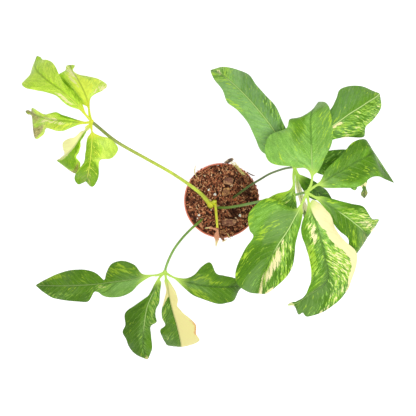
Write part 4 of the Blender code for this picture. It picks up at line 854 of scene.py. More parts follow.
def add_leaflet(shell, leaflet, patches, index, vein_spacing):
    """Add one leaflet to the shell as a closed blade on a round arm, with ribs and veins."""
    blade = Blade(leaflet, LEAFLET_PHASE * index)
    first, last = blade.arm_rungs, blade.last_rung
    blade_length = blade.alongs[-1] - blade.alongs[first * ROWS_PER_RUNG]
    tops = []
    bottoms = []
    for rung, along, row, normals in blade.lines():
        flat = smooth_step(0.5, first, rung)
        share_along = (rung - first) / (last - first)
        ends = smooth_step(0.0, 0.8, last - rung)
        lengths = [(edge - row[HALF_COLUMNS]).length for edge in (row[0], row[-1])]
        sides = ([], [])
        for share, point, normal in zip(blade.shares, row, normals):
            out = abs(share)
            length = lengths[0] if share > 0.0 else lengths[1]
            distance = out * length
            round_arm = ARM_THICKNESS / 2 * math.sqrt(max(0.0, 1.0 - out * out)) + 0.0001
            vein = (along - VEIN_SLANT * distance) / vein_spacing + 0.37 * index
            valley = (0.5 - 0.5 * math.cos(math.tau * vein)) ** 2
            quilt = VEIN_DEPTH * valley * smooth_step(0.0, VEIN_FADE, distance) * smooth_step(1.0, 0.6, out)
            quilt += SURFACE_RIPPLE * noise.noise(point * RIPPLE_CELLS)
            groove = RIB_GROOVE * math.exp(-((distance / GROOVE_REACH) ** 2))
            ridge = RIB_DEPTH * ends * math.exp(-((distance / RIB_REACH) ** 2))
            above = BLADE_THICKNESS / 2 - quilt - groove
            below = BLADE_THICKNESS / 2 + quilt + ridge
            values = patch_values(patches, share_along, share, VEIN_SLANT * length / blade_length)
            values["arm"] = 1.0 - smooth_step(first - 0.8, first + 0.9, rung)
            values["seed"] = 0.17 * index + (0.0 if share >= 0.0 else 0.09)
            values["edge"] = out
            place = (along + 0.013 * index, math.copysign(distance, share))
            for under, (reach, way) in enumerate(((above, 1.0), (below, -1.0))):
                values["under"] = float(under)
                spot = point + Vector(normal) * way * (round_arm + (reach - round_arm) * flat)
                sides[under].append(shell.add_point(spot, place, values))
        tops.append(sides[0])
        bottoms.append(sides[1])
    shell.add_closed_grid(tops, bottoms)


def add_hub(shell, centre, index):
    """Add the small knuckle where the stalk and the arms meet."""
    values = {"arm": 1.0, "seed": 0.17 * index}
    pole = Vector((0.0, 0.0, HUB_RADIUS))
    top = shell.add_point(centre + pole, (0.0, 0.0), values)
    bands = []
    for ring in range(1, HUB_RINGS):
        tilt = math.pi * ring / HUB_RINGS
        band = []
        for corner, (cosine, sine) in enumerate(round_steps(HUB_SIDES)):
            ripple = 1.0 + 0.05 * math.sin(10.0 * math.pi * corner / HUB_SIDES + index)
            flat = HUB_RADIUS * math.sin(tilt) * ripple
            offset = Vector((flat * cosine, flat * sine, HUB_RADIUS * math.cos(tilt)))
            band.append(shell.add_point(centre + offset, (0.0, 0.0), values))
        bands.append(band)
    bottom = shell.add_point(centre - pole, (0.0, 0.0), values)
    for corner in range(HUB_SIDES):
        after = (corner + 1) % HUB_SIDES
        shell.faces.append((top, bands[0][corner], bands[0][after]))
        shell.faces.append((bottom, bands[-1][after], bands[-1][corner]))
        for near, far in zip(bands, bands[1:]):
            shell.faces.append((near[corner], far[corner], far[after], near[after]))


def make_sheath(name, leaflets, finish):
    """Return the papery sheath: thin folded strips that taper to a point."""
    shell = Shell(("tone", "edge"))
    for leaflet in leaflets:
        blade = Blade(leaflet, 0.0)
        tops = []
        bottoms = []
        for rung, along, row, normals in blade.lines():
            sides = ([], [])
            span = (row[0] - row[-1]).length / 2
            for share, point, normal in zip(blade.shares, row, normals):
                fold = SHEATH_FOLD * span * abs(share)
                fold += SHEATH_CRUMPLE * noise.noise(point * CRUMPLE_CELLS)
                values = {"tone": rung / blade.last_rung, "edge": abs(share)}
                for side, offset in zip(sides, (SHEATH_THICKNESS / 2, -SHEATH_THICKNESS / 2)):
                    spot = point + Vector(normal) * (offset - fold)
                    side.append(shell.add_point(spot, (along, share * span), values))
            tops.append(sides[0])
            bottoms.append(sides[1])
        shell.add_closed_grid(tops, bottoms)
    return shell.make_object(name, finish)


def display(red, green, blue):
    """Return the scene's linear colour for a display colour given in 0 to 255."""
    shares = [value / 255.0 for value in (red, green, blue)]
    return tuple(share / 12.92 if share <= 0.04045 else ((share + 0.055) / 1.055) ** 2.4 for share in shares)


class NodeMaker:
    """Adds nodes to a tree and links them, laid out from left to right."""

    def __init__(self, tree):
        self.tree = tree
        self.count = 0

    def add(self, kind, values=None, **settings):
        """Add a node, set its properties and feed its inputs, given by name or by number."""
        node = self.tree.nodes.new(kind)
        node.location = (180.0 * (self.count // 4), -220.0 * (self.count % 4))
        self.count += 1
        for name, value in settings.items():
            setattr(node, name, value)
        for name, value in (values or {}).items():
            self.feed(node.inputs[name], value)
        return node

    def feed(self, socket, value):
        """Link a socket to the given output, or set it to the given value."""
        if isinstance(value, bpy.types.NodeSocket):
            self.tree.links.new(value, socket)
        elif isinstance(value, tuple) and len(value) == 3 and socket.type == "RGBA":
            socket.default_value = (*value, 1.0)
        else:
            socket.default_value = value

    def math(self, operation, first, second=0.0, third=0.0):
        """Return the result of a Math node."""
        return self.add("ShaderNodeMath", {0: first, 1: second, 2: third}, operation=operation).outputs[0]

    def ramp(self, value, low, high, start=0.0, end=1.0):
        """Return a smooth ramp from start at low to end at high."""
        values = {"Value": value, "From Min": low, "From Max": high, "To Min": start, "To Max": end}
        return self.add("ShaderNodeMapRange", values, interpolation_type="SMOOTHSTEP").outputs["Result"]

    def mix(self, share, first, second, blend="MIX"):
        """Return a mix of two colours."""
        values = {0: share, 6: first, 7: second}
        return self.add("ShaderNodeMix", values, data_type="RGBA", blend_type=blend).outputs[2]

    def tint(self, colour, factor):
        """Return a colour multiplied by another."""
        return self.mix(1.0, colour, factor, "MULTIPLY")

    def vector(self, x, y, z):
        """Return a vector of three values."""
        return self.add("ShaderNodeCombineXYZ", {0: x, 1: y, 2: z}).outputs[0]

    def split(self, vector):
        """Return a vector's three values."""
        return tuple(self.add("ShaderNodeSeparateXYZ", {0: vector}).outputs)

    def noise(self, vector, scale, detail=2.0, roughness=0.55):
        """Return the value of a noise texture, about 0.5 in the middle."""
        values = {"Vector": vector, "Scale": scale, "Detail": detail, "Roughness": roughness}
        return self.add("ShaderNodeTexNoise", values).outputs["Fac"]

    def cells(self, vector, scale):
        """Return the distance to the nearest point of a Voronoi texture."""
        return self.add("ShaderNodeTexVoronoi", {"Vector": vector, "Scale": scale}).outputs["Distance"]

    def attribute(self, name):
        """Return the value of the mesh's own attribute."""
        return self.add("ShaderNodeAttribute", attribute_name=name).outputs["Fac"]

    def object_place(self):
        """Return the Object coordinates."""
        return self.add("ShaderNodeTexCoord").outputs["Object"]

    def surface_place(self):
        """Return the place along and across the piece, from its own UV map."""
        return self.split(self.add("ShaderNodeUVMap", uv_map="leaf").outputs["UV"])[:2]


def built_once(name):
    """Make a function build the node group of this name on its first call and find it afterwards."""
    def wrap(build):
        """Return the function that finds or builds the group."""
        def find():
            """Return the node group."""
            return bpy.data.node_groups.get(name) or build(name)
        return find
    return wrap


def add_sockets(tree, direction, sockets):
    """Give a tree its named inputs or outputs, each with its kind and its default if it has one."""
    for name, kind, *default in sockets:
        made = tree.interface.new_socket(name, in_out=direction, socket_type="NodeSocket" + kind)
        if default:
            made.default_value = default[0]


def start_group(name, inputs, outputs):
    """Return a new shader group's maker, its inputs' values and its output node."""
    tree = bpy.data.node_groups.new(name, "ShaderNodeTree")
    add_sockets(tree, "INPUT", inputs)
    add_sockets(tree, "OUTPUT", outputs)
    maker = NodeMaker(tree)
    return maker, maker.add("NodeGroupInput").outputs, maker.add("NodeGroupOutput")


def start_material(name, roughness=0.5, specular=0.5):
    """Return a new material's maker and its Principled shader."""
    made = bpy.data.materials.new(name)
    made.use_nodes = True
    shader = made.node_tree.nodes["Principled BSDF"]
    shader.inputs["Roughness"].default_value = roughness
    shader.inputs["Specular IOR Level"].default_value = specular
    return made, NodeMaker(made.node_tree), shader


def dress(maker, shader, colour, height, depth, strength=1.0):
    """Give the shader its colour, and a bump of this depth in metres from the height."""
    maker.feed(shader.inputs["Base Color"], colour)
    bump = maker.add("ShaderNodeBump", {"Height": height, "Distance": depth, "Strength": strength})
    maker.feed(shader.inputs["Normal"], bump.outputs["Normal"])


@built_once("Uneven tone")
def grain_group(name):
    """Return the group that gives any surface a fine uneven tone and height."""
    grey = (0.5, 0.5, 0.5, 1.0)
    inputs = (("Color", "Color", grey), ("Scale", "Float", 300.0), ("Amount", "Float", 0.3))
    maker, given, out = start_group(name, inputs, (("Color", "Color"), ("Height", "Float")))
    place = maker.object_place()
    fine = maker.noise(place, given["Scale"], 4.0, 0.65)
    broad = maker.noise(place, maker.math("MULTIPLY", given["Scale"], 0.17), 2.0)
    both = maker.math("MULTIPLY_ADD", fine, 0.6, maker.math("MULTIPLY", broad, 0.4))
    dark = maker.mix(given["Amount"], (1.0, 1.0, 1.0), (0.25, 0.22, 0.2))
    light = maker.mix(given["Amount"], (1.0, 1.0, 1.0), (1.7, 1.7, 1.6))
    factor = maker.mix(maker.ramp(both, 0.3, 0.7), dark, light)
    maker.feed(out.inputs["Color"], maker.tint(given["Color"], factor))
    maker.feed(out.inputs["Height"], fine)
    return maker.tree


def add_grain(maker, colour, scale, amount):
    """Return the colour with an uneven tone, and the height of its grain."""
    values = {"Color": colour, "Scale": scale, "Amount": amount}
    outputs = maker.add("ShaderNodeGroup", values, node_tree=grain_group()).outputs
    return outputs["Color"], outputs["Height"]


# Leaf colours. Light and Dark are partly painted light and painted shade on the leaflet halves; the
# grey-green sheen colour is a painted reflection of the sky.
LEAF_COLOURS = ("Green", "Dark", "Light", "Lime", "Bloom", "Cream", "Rib", "Arm", "Under")


@built_once("Leaf tissue")
def leaf_group(name):
    """Return the group that paints leaf tissue: its broad tones, speckle, lime flecks and cream splashes,
    with painted light, shade and sheen.
    """
    inputs = [(colour, "Color", (0.1, 0.2, 0.05, 1.0)) for colour in LEAF_COLOURS]
    inputs += [("Vein Spacing", "Float", 0.0085), ("Flecks", "Float", 0.5), ("Tone", "Float", 1.0)]
    outputs = (("Color", "Color"), ("Roughness", "Float"), ("Height", "Float"))
    maker, values, out = start_group(name, inputs, outputs)
    add, times, more = (partial(maker.math, kind) for kind in ("ADD", "MULTIPLY", "MULTIPLY_ADD"))
    less = partial(maker.math, "SUBTRACT")
    mix, ramp, tint, read = maker.mix, maker.ramp, maker.tint, maker.attribute

    along, across = maker.surface_place()
    reach = maker.math("ABSOLUTE", across)
    seed = more(maker.math("GREATER_THAN", across, 0.0), 17.7, times(read("seed"), 57.0))
    wander = maker.noise(maker.object_place(), 90.0)
    slanted = add(more(reach, -VEIN_SLANT, along), times(wander, 0.006))

    def streaks(narrow, long, detail):
        """Return noise in streaks along the side veins, narrow and long being cells to the metre."""
        place = maker.vector(times(slanted, narrow), times(reach, long), seed)
        return maker.noise(place, 1.0, detail, 0.62)

    thin = streaks(760.0, 270.0, 4.0)
    splash = streaks(330.0, 125.0, 4.0)
    broad = streaks(120.0, 42.0, 2.0)
    grit = maker.noise(maker.object_place(), 1050.0, 3.0, 0.7)
    spread = more(splash, 0.6, times(thin, 0.4))

    def patch(paint, roughness, low, high):
        """Return a paint attribute's mask, its edge broken up by the streaks."""
        return ramp(more(less(spread, 0.5), roughness, read(paint)), low, high)

    def spots(strength, level, low, high):
        """Return the spots where the streaks and the level together pass from low to high."""
        return ramp(more(level, strength, spread), low, high)

    # Pale and deep greens; partly painted light and painted shade on the halves that face towards and away
    # from the key light.
    deep = patch("dark", 2.2, 0.1, 0.9)
    colour = mix(patch("light", 2.2, 0.1, 0.9), values["Green"], values["Light"])
    colour = mix(deep, colour, values["Dark"])
    speckle = mix(ramp(grit, 0.36, 0.64), (0.74, 0.80, 0.74), (1.20, 1.14, 1.16))
    clouds = mix(ramp(broad, 0.32, 0.68), (0.84, 0.88, 0.80), (1.12, 1.08, 1.12))
    colour = tint(tint(colour, speckle), clouds)
    # Painted sheen: grey-green patches that stand for the sky's reflection on the glossy leaves, kept mostly
    # off the deep green.
    bloom = ramp(maker.noise(maker.object_place(), 34.0, 3.0), 0.48, 0.66, 0.0, 0.36)
    bloom = times(bloom, more(deep, -0.8, 1.0))
    bloom = maker.math("MAXIMUM", bloom, times(patch("bloom", 2.0, 0.2, 0.9), 0.6))
    colour = mix(bloom, colour, values["Bloom"])
    colour = mix(spots(0.05, values["Flecks"], 0.60, 0.68), colour, values["Lime"])
    lime = maker.math("MINIMUM", spots(0.15, read("lime"), 0.60, 0.67), 0.85)
    colour = mix(lime, colour, values["Lime"])

    mottle = read("mottle")
    here = ramp(mottle, 0.03, 0.3)
    colour = mix(times(ramp(spread, 0.42, 0.50, 0.8, 0.0), here), colour, values["Dark"])
    for low, high, paint in ((0.56, 0.62, "Light"), (0.60, 0.65, "Lime"), (0.66, 0.69, "Cream")):
        colour = mix(times(spots(0.085, mottle, low, high), here), colour, values[paint])
    # Each leaf's tone; the low leaf's lower tone is painted shade.
    colour = tint(colour, maker.vector(values["Tone"], values["Tone"], values["Tone"]))

    cream = patch("cream", 1.6, 0.40, 0.52)
    cream_tone = mix(ramp(splash, 0.40, 0.68, 0.0, 0.3), values["Cream"], (0.86, 0.70, 0.33))
    colour = mix(cream, colour, cream_tone)
    dry_tone = mix(ramp(thin, 0.38, 0.62), (0.22, 0.21, 0.035), (0.62, 0.55, 0.19))
    colour = mix(patch("dry", 2.0, 0.2, 0.8), colour, dry_tone)
    colour = mix(patch("blush", 2.0, 0.3, 0.9), colour, (0.76, 0.40, 0.13))

    step = maker.math("FRACT", maker.math("DIVIDE", slanted, values["Vein Spacing"]))
    vein = ramp(maker.math("ABSOLUTE", less(step, 0.5)), 0.0, 0.05, 1.0, 0.0)
    vein = times(vein, ramp(read("edge"), 0.35, 0.9, 1.0, 0.0))
    green_share = less(1.0, cream)
    # A fine vein net, sunk in the relief and darkened in colour as painted shade in the creases of the
    # quilting.
    net = maker.cells(maker.vector(slanted, reach, seed), 260.0)
    net = times(ramp(net, 0.42, 0.72), green_share)
    colour = mix(times(net, 0.26), colour, tint(colour, (0.5, 0.6, 0.3)))
    colour = mix(times(times(vein, green_share), 0.26), colour, values["Rib"])
    rib = ramp(reach, 0.0002, 0.0010, 1.0, 0.0)
    # Painted shade in the groove beside the rib.
    furrow_shade = ramp(reach, 0.0006, 0.0018, 1.0, 0.0)
    colour = mix(times(furrow_shade, 0.6), colour, tint(colour, (0.45, 0.52, 0.4)))
    colour = mix(times(rib, read("pale_rib")), colour, values["Rib"])
    colour = mix(read("arm"), colour, values["Arm"])
    colour = mix(times(read("under"), 0.6), colour, values["Under"])
    maker.feed(out.inputs["Color"], colour)

    maker.feed(out.inputs["Roughness"], ramp(grit, 0.2, 0.8, 0.36, 0.5))
    raised = add(times(grit, 0.35), times(spread, 0.6))
    sunk = add(times(add(vein, net), 0.5), times(rib, 0.5))
    maker.feed(out.inputs["Height"], less(raised, sunk))
    return maker.tree


def leaf_material(name, values):
    """Return a leaf material with its own colours and numbers."""
    made, maker, shader = start_material(name, specular=0.25)
    outputs = maker.add("ShaderNodeGroup", values, node_tree=leaf_group()).outputs
    maker.feed(shader.inputs["Roughness"], outputs["Roughness"])
    dress(maker, shader, outputs["Color"], outputs["Height"], 0.00025, 0.6)
    return made


def stalk_material(name, foot, middle, top, tone=1.0):
    """Return a stalk material that changes colour from its foot to its top, with fine ribs along it."""
    foot, middle, top = (tuple(value * tone for value in colour) for colour in (foot, middle, top))
    made, maker, shader = start_material(name, roughness=0.42, specular=0.4)
    along = maker.attribute("along")
    colour = maker.mix(maker.ramp(along, 0.0, 0.35), foot, middle)
    colour = maker.mix(maker.ramp(along, 0.45, 1.0), colour, top)
    ribs = maker.attribute("ridge")
    colour = maker.mix(maker.ramp(ribs, -1.0, 1.0, 0.0, 0.12), colour, (0.9, 0.95, 0.5))
    colour, grain = add_grain(maker, colour, 420.0, 0.3)
    dress(maker, shader, colour, maker.math("MULTIPLY_ADD", ribs, 0.4, grain), 0.00015, 0.5)
    return made


def pot_material(colour):
    """Return the pot's satin plastic, with dust on it and soil smeared inside the rim."""
    made, maker, shader = start_material("pot_plastic", roughness=0.48, specular=0.4)
    times, more = (partial(maker.math, kind) for kind in ("MULTIPLY", "MULTIPLY_ADD"))
    place = maker.object_place()
    x, y, height = maker.split(place)
    colour, grain = add_grain(maker, colour, 260.0, 0.16)
    stretched = maker.add("ShaderNodeMapping", {"Vector": place, "Scale": (1.0, 1.0, 0.25)}).outputs[0]
    scuffs = maker.noise(stretched, 380.0, 5.0, 0.7)
    dusty = maker.mix(maker.ramp(scuffs, 0.52, 0.72, 0.0, 0.35), colour, (0.80, 0.55, 0.42))
    smears = maker.noise(place, 150.0, 5.0, 0.7)
    reach = maker.math("SQRT", more(x, x, times(y, y)))
    flare = (RIM_RADIUS - RIM_BAND_STEP - BASE_RADIUS) / POT_HEIGHT
    depth = maker.math("SUBTRACT", more(height, flare, BASE_RADIUS), reach)
    inside = maker.ramp(depth, POT_WALL * 0.3, POT_WALL * 0.9)
    foot = maker.ramp(more(smears, 0.02, height), 0.008, 0.024, 0.45, 0.0)
    dirt = times(maker.ramp(smears, 0.42, 0.58), inside)
    dirt = maker.math("MAXIMUM", dirt, times(foot, maker.ramp(smears, 0.4, 0.65)))
    maker.feed(shader.inputs["Roughness"], more(dirt, 0.35, 0.46))
    colour = maker.mix(dirt, dusty, (0.10, 0.055, 0.035))
    dress(maker, shader, colour, more(scuffs, 0.5, grain), 0.00008, 0.5)
    return made


def mix_material(dark, brown):
    """Return the bark mix between the crumbs, painted darker in its low spots as shade in the gaps."""
    made, maker, shader = start_material("bark_mix_soil", roughness=0.9, specular=0.2)
    clods = maker.cells(maker.object_place(), 420.0)
    lumps = maker.noise(maker.object_place(), 260.0, 6.0, 0.7)
    # The dark tone between the lumps and at the clods' edges is painted shade in the gaps between the crumbs.
    colour = maker.mix(maker.ramp(lumps, 0.35, 0.68), dark, brown)
    colour = maker.mix(maker.ramp(clods, 0.0, 0.6, 0.0, 0.6), colour, dark)
    colour, grain = add_grain(maker, colour, 700.0, 0.5)
    relief = maker.math("SUBTRACT", maker.math("ADD", lumps, grain), clods)
    dress(maker, shader, colour, relief, 0.0008)
    return made


def crumb_material(dark, brown, red, tan, pale):
    """Return the material of the loose crumbs, whose tone runs from dark bark to pale fibre, darkened with
    painted shade in the hollows.
    """
    made, maker, shader = start_material("bark_crumbs", roughness=0.85, specular=0.25)
    tone = maker.attribute("tone")
    colour = dark
    for low, high, shade in ((0.08, 0.26, brown), (0.32, 0.5, red), (0.66, 0.84, tan), (0.94, 0.99, pale)):
        colour = maker.mix(maker.ramp(tone, low, high), colour, shade)
    x, y, _ = maker.split(maker.object_place())
    flat_place = maker.vector(x, y, 0.0)
    # Painted shade: crumbs in the dark hollows of the mix are darkened.
    hollow_shade = 0.0
    for plan_x, plan_y, radius, strength in MIX_SHADES:
        centre = plan_to_space(plan_x, plan_y, MIX_TOP_HEIGHT / MM)
        ends = {0: flat_place, 1: (centre.x, centre.y, 0.0)}
        distance = maker.add("ShaderNodeVectorMath", ends, operation="DISTANCE").outputs["Value"]
        near = maker.ramp(distance, radius * 0.45, radius * 1.15, strength, 0.0)
        hollow_shade = maker.math("MAXIMUM", near, hollow_shade)
    colour = maker.mix(hollow_shade, colour, maker.tint(colour, (0.14, 0.12, 0.13)))
    colour, grain = add_grain(maker, colour, 900.0, 0.45)
    dress(maker, shader, colour, grain, 0.0003, 0.7)
    return made


def fibres_along(maker, long, narrow, detail, roughness=0.55):
    """Return noise drawn out along the piece, long and narrow being cells to the metre."""
    along, across = maker.surface_place()
    place = maker.vector(maker.math("MULTIPLY", along, long), maker.math("MULTIPLY", across, narrow), 0.0)
    return maker.noise(place, 1.0, detail, roughness)


def bark_material(name, *colours):
    """Return the layered bark of a chip, with long grain and paler broken edges, from display colours."""
    dark, brown, edge = (display(*colour) for colour in colours)
    made, maker, shader = start_material(name, roughness=0.8, specular=0.25)
    lines = fibres_along(maker, 160.0, 900.0, 5.0, 0.65)
    flakes = maker.cells(maker.object_place(), 330.0)
    colour = maker.mix(maker.ramp(lines, 0.35, 0.65), dark, brown)
    colour = maker.mix(maker.ramp(flakes, 0.5, 0.9, 0.0, 0.5), colour, dark)
    blotches = maker.noise(maker.object_place(), 210.0, 3.0)
    colour = maker.mix(maker.ramp(blotches, 0.54, 0.68, 0.0, 0.7), colour, edge)
    torn = maker.math("MULTIPLY", maker.attribute("edge"), maker.ramp(blotches, 0.46, 0.58))
    colour, grain = add_grain(maker, maker.mix(torn, colour, edge), 800.0, 0.35)
    dress(maker, shader, colour, maker.math("MULTIPLY_ADD", lines, 1.5, grain), 0.0004, 0.8)
    return made


def plain_grain_material(name, colour, roughness, scale, amount):
    """Return a material of one display colour with uneven tone, for the small loose bits."""
    made, maker, shader = start_material(name, roughness=roughness, specular=0.3)
    dress(maker, shader, *add_grain(maker, display(*colour), scale, amount), 0.0002, 0.6)
    return made


def sheath_material(pink, tip):
    """Return the new shoot's papery sheath, pink with long fibres and a pale tip."""
    made, maker, shader = start_material("shoot_sheath", roughness=0.6, specular=0.25)
    fibres = fibres_along(maker, 120.0, 2200.0, 3.0)
    colour = maker.mix(maker.ramp(fibres, 0.35, 0.7, 0.0, 0.7), pink, (0.55, 0.24, 0.15))
    colour = maker.mix(maker.ramp(maker.attribute("tone"), 0.6, 0.95), colour, tip)
    colour, _ = add_grain(maker, colour, 600.0, 0.2)
    dress(maker, shader, colour, fibres, 0.0002, 0.6)
    return made


def start_nodes(name, inputs):
    """Return a new Geometry Nodes tree's maker and its input node's outputs."""
    tree = bpy.data.node_groups.new(name, "GeometryNodeTree")
    add_sockets(tree, "INPUT", (("Geometry", "Geometry"), *inputs, ("Material", "Material")))
    add_sockets(tree, "OUTPUT", (("Geometry", "Geometry"),))
    maker = NodeMaker(tree)
    return maker, maker.add("NodeGroupInput").outputs


def end_nodes(maker, geometry, material):
    """End a tree in Realize Instances and Set Material."""
    real = maker.add("GeometryNodeRealizeInstances", {"Geometry": geometry}).outputs[0]
    paint = maker.add("GeometryNodeSetMaterial", {"Geometry": real, "Material": material})
    maker.add("NodeGroupOutput", {0: paint.outputs[0]})
    return maker.tree


def store_value(maker, geometry, name, value, domain="POINT"):
    """Return the geometry with a float attribute stored on it."""
    values = {"Geometry": geometry, "Name": name, "Value": value}
    return maker.add("GeometryNodeStoreNamedAttribute", values, data_type="FLOAT", domain=domain).outputs[0]


def random_value(maker, kind, low, high, seed):
    """Return a random number or vector per element, the same on each run."""
    node = maker.add("FunctionNodeRandomValue", {"Seed": seed}, data_type=kind)
    wanted = "VALUE" if kind == "FLOAT" else "VECTOR"
    lowest, highest = [socket for socket in node.inputs if socket.type == wanted][:2]
    maker.feed(lowest, low)
    maker.feed(highest, high)
    return next(socket for socket in node.outputs if socket.type == wanted)


def scale_vector(maker, vector, scale):
    """Return a vector made this many times as long."""
    return maker.add("ShaderNodeVectorMath", {0: vector, "Scale": scale}, operation="SCALE").outputs[0]


def jitter(maker, geometry, scale, amount, detail=2.0):
    """Return the geometry with its points moved by noise."""
    place = maker.add("GeometryNodeInputPosition").outputs[0]
    texture = maker.add("ShaderNodeTexNoise", {"Vector": place, "Scale": scale, "Detail": detail})
    ends = {0: texture.outputs["Color"], 1: (0.5, 0.5, 0.5)}
    centred = maker.add("ShaderNodeVectorMath", ends, operation="SUBTRACT").outputs[0]
    values = {"Geometry": geometry, "Offset": scale_vector(maker, centred, amount)}
    return maker.add("GeometryNodeSetPosition", values).outputs[0]


def add_circle(maker, sides):
    """Return a circle of 1 m radius as a curve."""
    values = {"Resolution": sides, "Radius": 1.0}
    return maker.add("GeometryNodeCurvePrimitiveCircle", values, mode="RADIUS").outputs["Curve"]


def sweep(maker, curve, profile, scale):
    """Return the closed skin that the profile leaves as it runs along the curve."""
    values = {"Curve": curve, "Profile Curve": profile, "Scale": scale, "Fill Caps": True}
    return maker.add("GeometryNodeCurveToMesh", values).outputs[0]


def scatter(maker, given, instance, rotation, scale, tone):
    """Return copies of the instance strewn over the surface, each with its turn, size and tone."""
    values = {"Mesh": given["Geometry"], "Density": given["Density"], "Seed": given["Seed"]}
    spread = maker.add("GeometryNodeDistributePointsOnFaces", values, distribute_method="RANDOM")
    values = {"Points": spread.outputs["Points"], "Instance": instance, "Rotation": rotation, "Scale": scale}
    placed = maker.add("GeometryNodeInstanceOnPoints", values).outputs[0]
    toned = store_value(maker, placed, "tone", tone, "INSTANCE")
    return maker.add("GeometryNodeRealizeInstances", {"Geometry": toned}).outputs[0]


@built_once("Stalk sweep")
def stalk_tree(name):
    """Return the tree that sweeps a ribbed round section along a curve, as thick as the curve's radius."""
    inputs = (("Sides", "Int", 24), ("Ridges", "Int", 6), ("Ridge Height", "Float", 0.02))
    maker, given = start_nodes(name, inputs)
    factor = maker.add("GeometryNodeSplineParameter").outputs["Factor"]
    curve = store_value(maker, given["Geometry"], "along", factor)
    turn = maker.math("MULTIPLY", factor, given["Ridges"])
    ridge = maker.math("COSINE", maker.math("MULTIPLY", turn, math.tau))
    grown = maker.math("MULTIPLY_ADD", ridge, given["Ridge Height"], 1.0)
    place = scale_vector(maker, maker.add("GeometryNodeInputPosition").outputs[0], grown)
    circle = store_value(maker, add_circle(maker, given["Sides"]), "ridge", ridge)
    profile = maker.add("GeometryNodeSetPosition", {"Geometry": circle, "Position": place}).outputs[0]
    skin = sweep(maker, curve, profile, maker.add("GeometryNodeInputRadius").outputs[0])
    return end_nodes(maker, skin, given["Material"])


@built_once("Crumbs")
def crumb_tree(name):
    """Return the tree that strews crumbs over a surface, each with its own size, turn and tone."""
    maker, given = start_nodes(name, (
        ("Density", "Float", 200000.0), ("Smallest", "Vector", (0.0007, 0.0005, 0.0004)),
        ("Largest", "Vector", (0.0026, 0.0013, 0.0010)), ("Roughness", "Float", 0.0012),
        ("Tilt", "Float", 0.6), ("Seed", "Int", 0),
    ))
    crumb = maker.add("GeometryNodeMeshIcoSphere", {"Radius": 1.0, "Subdivisions": 2}).outputs["Mesh"]
    tilt = given["Tilt"]
    down = maker.math("MULTIPLY", tilt, -1.0)
    ends = (maker.vector(down, down, 0.0), maker.vector(tilt, tilt, math.tau))
    rotation = random_value(maker, "FLOAT_VECTOR", *ends, 3)
    scale = random_value(maker, "FLOAT_VECTOR", given["Smallest"], given["Largest"], 7)
    tone = random_value(maker, "FLOAT", 0.0, 1.0, 11)
    strewn = scatter(maker, given, crumb, rotation, scale, tone)
    return end_nodes(maker, jitter(maker, strewn, 620.0, given["Roughness"]), given["Material"])


@built_once("Fibres")
def fibre_tree(name):
    """Return the tree that strews bent fibres over a surface."""
    maker, given = start_nodes(name, (
        ("Density", "Float", 30000.0), ("Shortest", "Float", 0.004), ("Longest", "Float", 0.014),
        ("Thickness", "Float", 0.00022), ("Bend", "Float", 0.006), ("Seed", "Int", 0),
    ))
    ends = {"Start": (-0.5, 0.0, 0.0), "End": (0.5, 0.0, 0.0)}
    line = maker.add("GeometryNodeCurvePrimitiveLine", ends, mode="POINTS").outputs[0]
    parts = maker.add("GeometryNodeResampleCurve", {"Curve": line, "Count": 8}).outputs[0]
    length = random_value(maker, "FLOAT", given["Shortest"], given["Longest"], 5)
    turns = ((-0.3, -0.3, 0.0), (0.3, 0.3, math.tau))
    rotation = random_value(maker, "FLOAT_VECTOR", *turns, 13)
    tone = random_value(maker, "FLOAT", 0.3, 1.0, 17)
    strewn = scatter(maker, given, parts, rotation, maker.vector(length, length, length), tone)
    bent = jitter(maker, strewn, 120.0, given["Bend"], 0.0)
    return end_nodes(maker, sweep(maker, bent, add_circle(maker, 5), given["Thickness"]), given["Material"])


def evaluated_mesh(source):
    """Return a new mesh of the object with its modifiers applied."""
    bpy.context.view_layer.update()
    evaluated = source.evaluated_get(bpy.context.evaluated_depsgraph_get())
    return bpy.data.meshes.new_from_object(evaluated)


def apply_tree(source, name, tree, values, sharp=50.0):
    """Run a tree on the source object, replace the source by the plain mesh, and return its object."""
    sockets = {item.name: item.identifier for item in tree.interface.items_tree if item.in_out == "INPUT"}
    modifier = source.modifiers.new(tree.name, "NODES")
    modifier.node_group = tree
    for socket, value in values.items():
        modifier[sockets[socket]] = value
    mesh = evaluated_mesh(source)
    if not mesh.polygons:
        raise RuntimeError(name + " has no faces")
    bpy.data.objects.remove(source)
    mesh.name = name
    turn_outwards(mesh)
    shade(mesh, sharp)
    return add_object(name, mesh)


def make_sweep(name, points, radii, finish, ridges=6, ridge_height=0.02):
    """Return a round swept piece through the points, with a radius for each of them."""
    curve = bpy.data.curves.new(name + "_path", "CURVE")
    curve.dimensions = "3D"
    spline = curve.splines.new("POLY")
    spline.points.add(len(points) - 1)
    for spot, point, radius in zip(spline.points, points, radii):
        spot.co = (*point, 1.0)
        spot.radius = radius
    values = {"Sides": STALK_SIDES, "Ridges": ridges, "Ridge Height": ridge_height, "Material": finish}
    return apply_tree(add_object(name + "_path", curve), name, stalk_tree(), values)


def plan_curve(points, steps):
    """Return the smooth curve in space through the plan points, and each point's share of the way along."""
    curve = smooth_curve([plan_to_space(*point) for point in points], steps)
    return curve, [index / (len(curve) - 1) for index in range(len(curve))]


def pot_inner_radius(z):
    """Return the radius of the pot's inner wall at this height."""
    flare = RIM_RADIUS - RIM_BAND_STEP - BASE_RADIUS
    return BASE_RADIUS + flare * z / POT_HEIGHT - POT_WALL


def arc(centre, radius, start, end, steps):
    """Return points on an arc in the profile's plane, with angles in degrees."""
    angles = [math.radians(start + (end - start) * step / steps) for step in range(steps + 1)]
    return [(centre[0] + radius * math.cos(angle), centre[1] + radius * math.sin(angle)) for angle in angles]


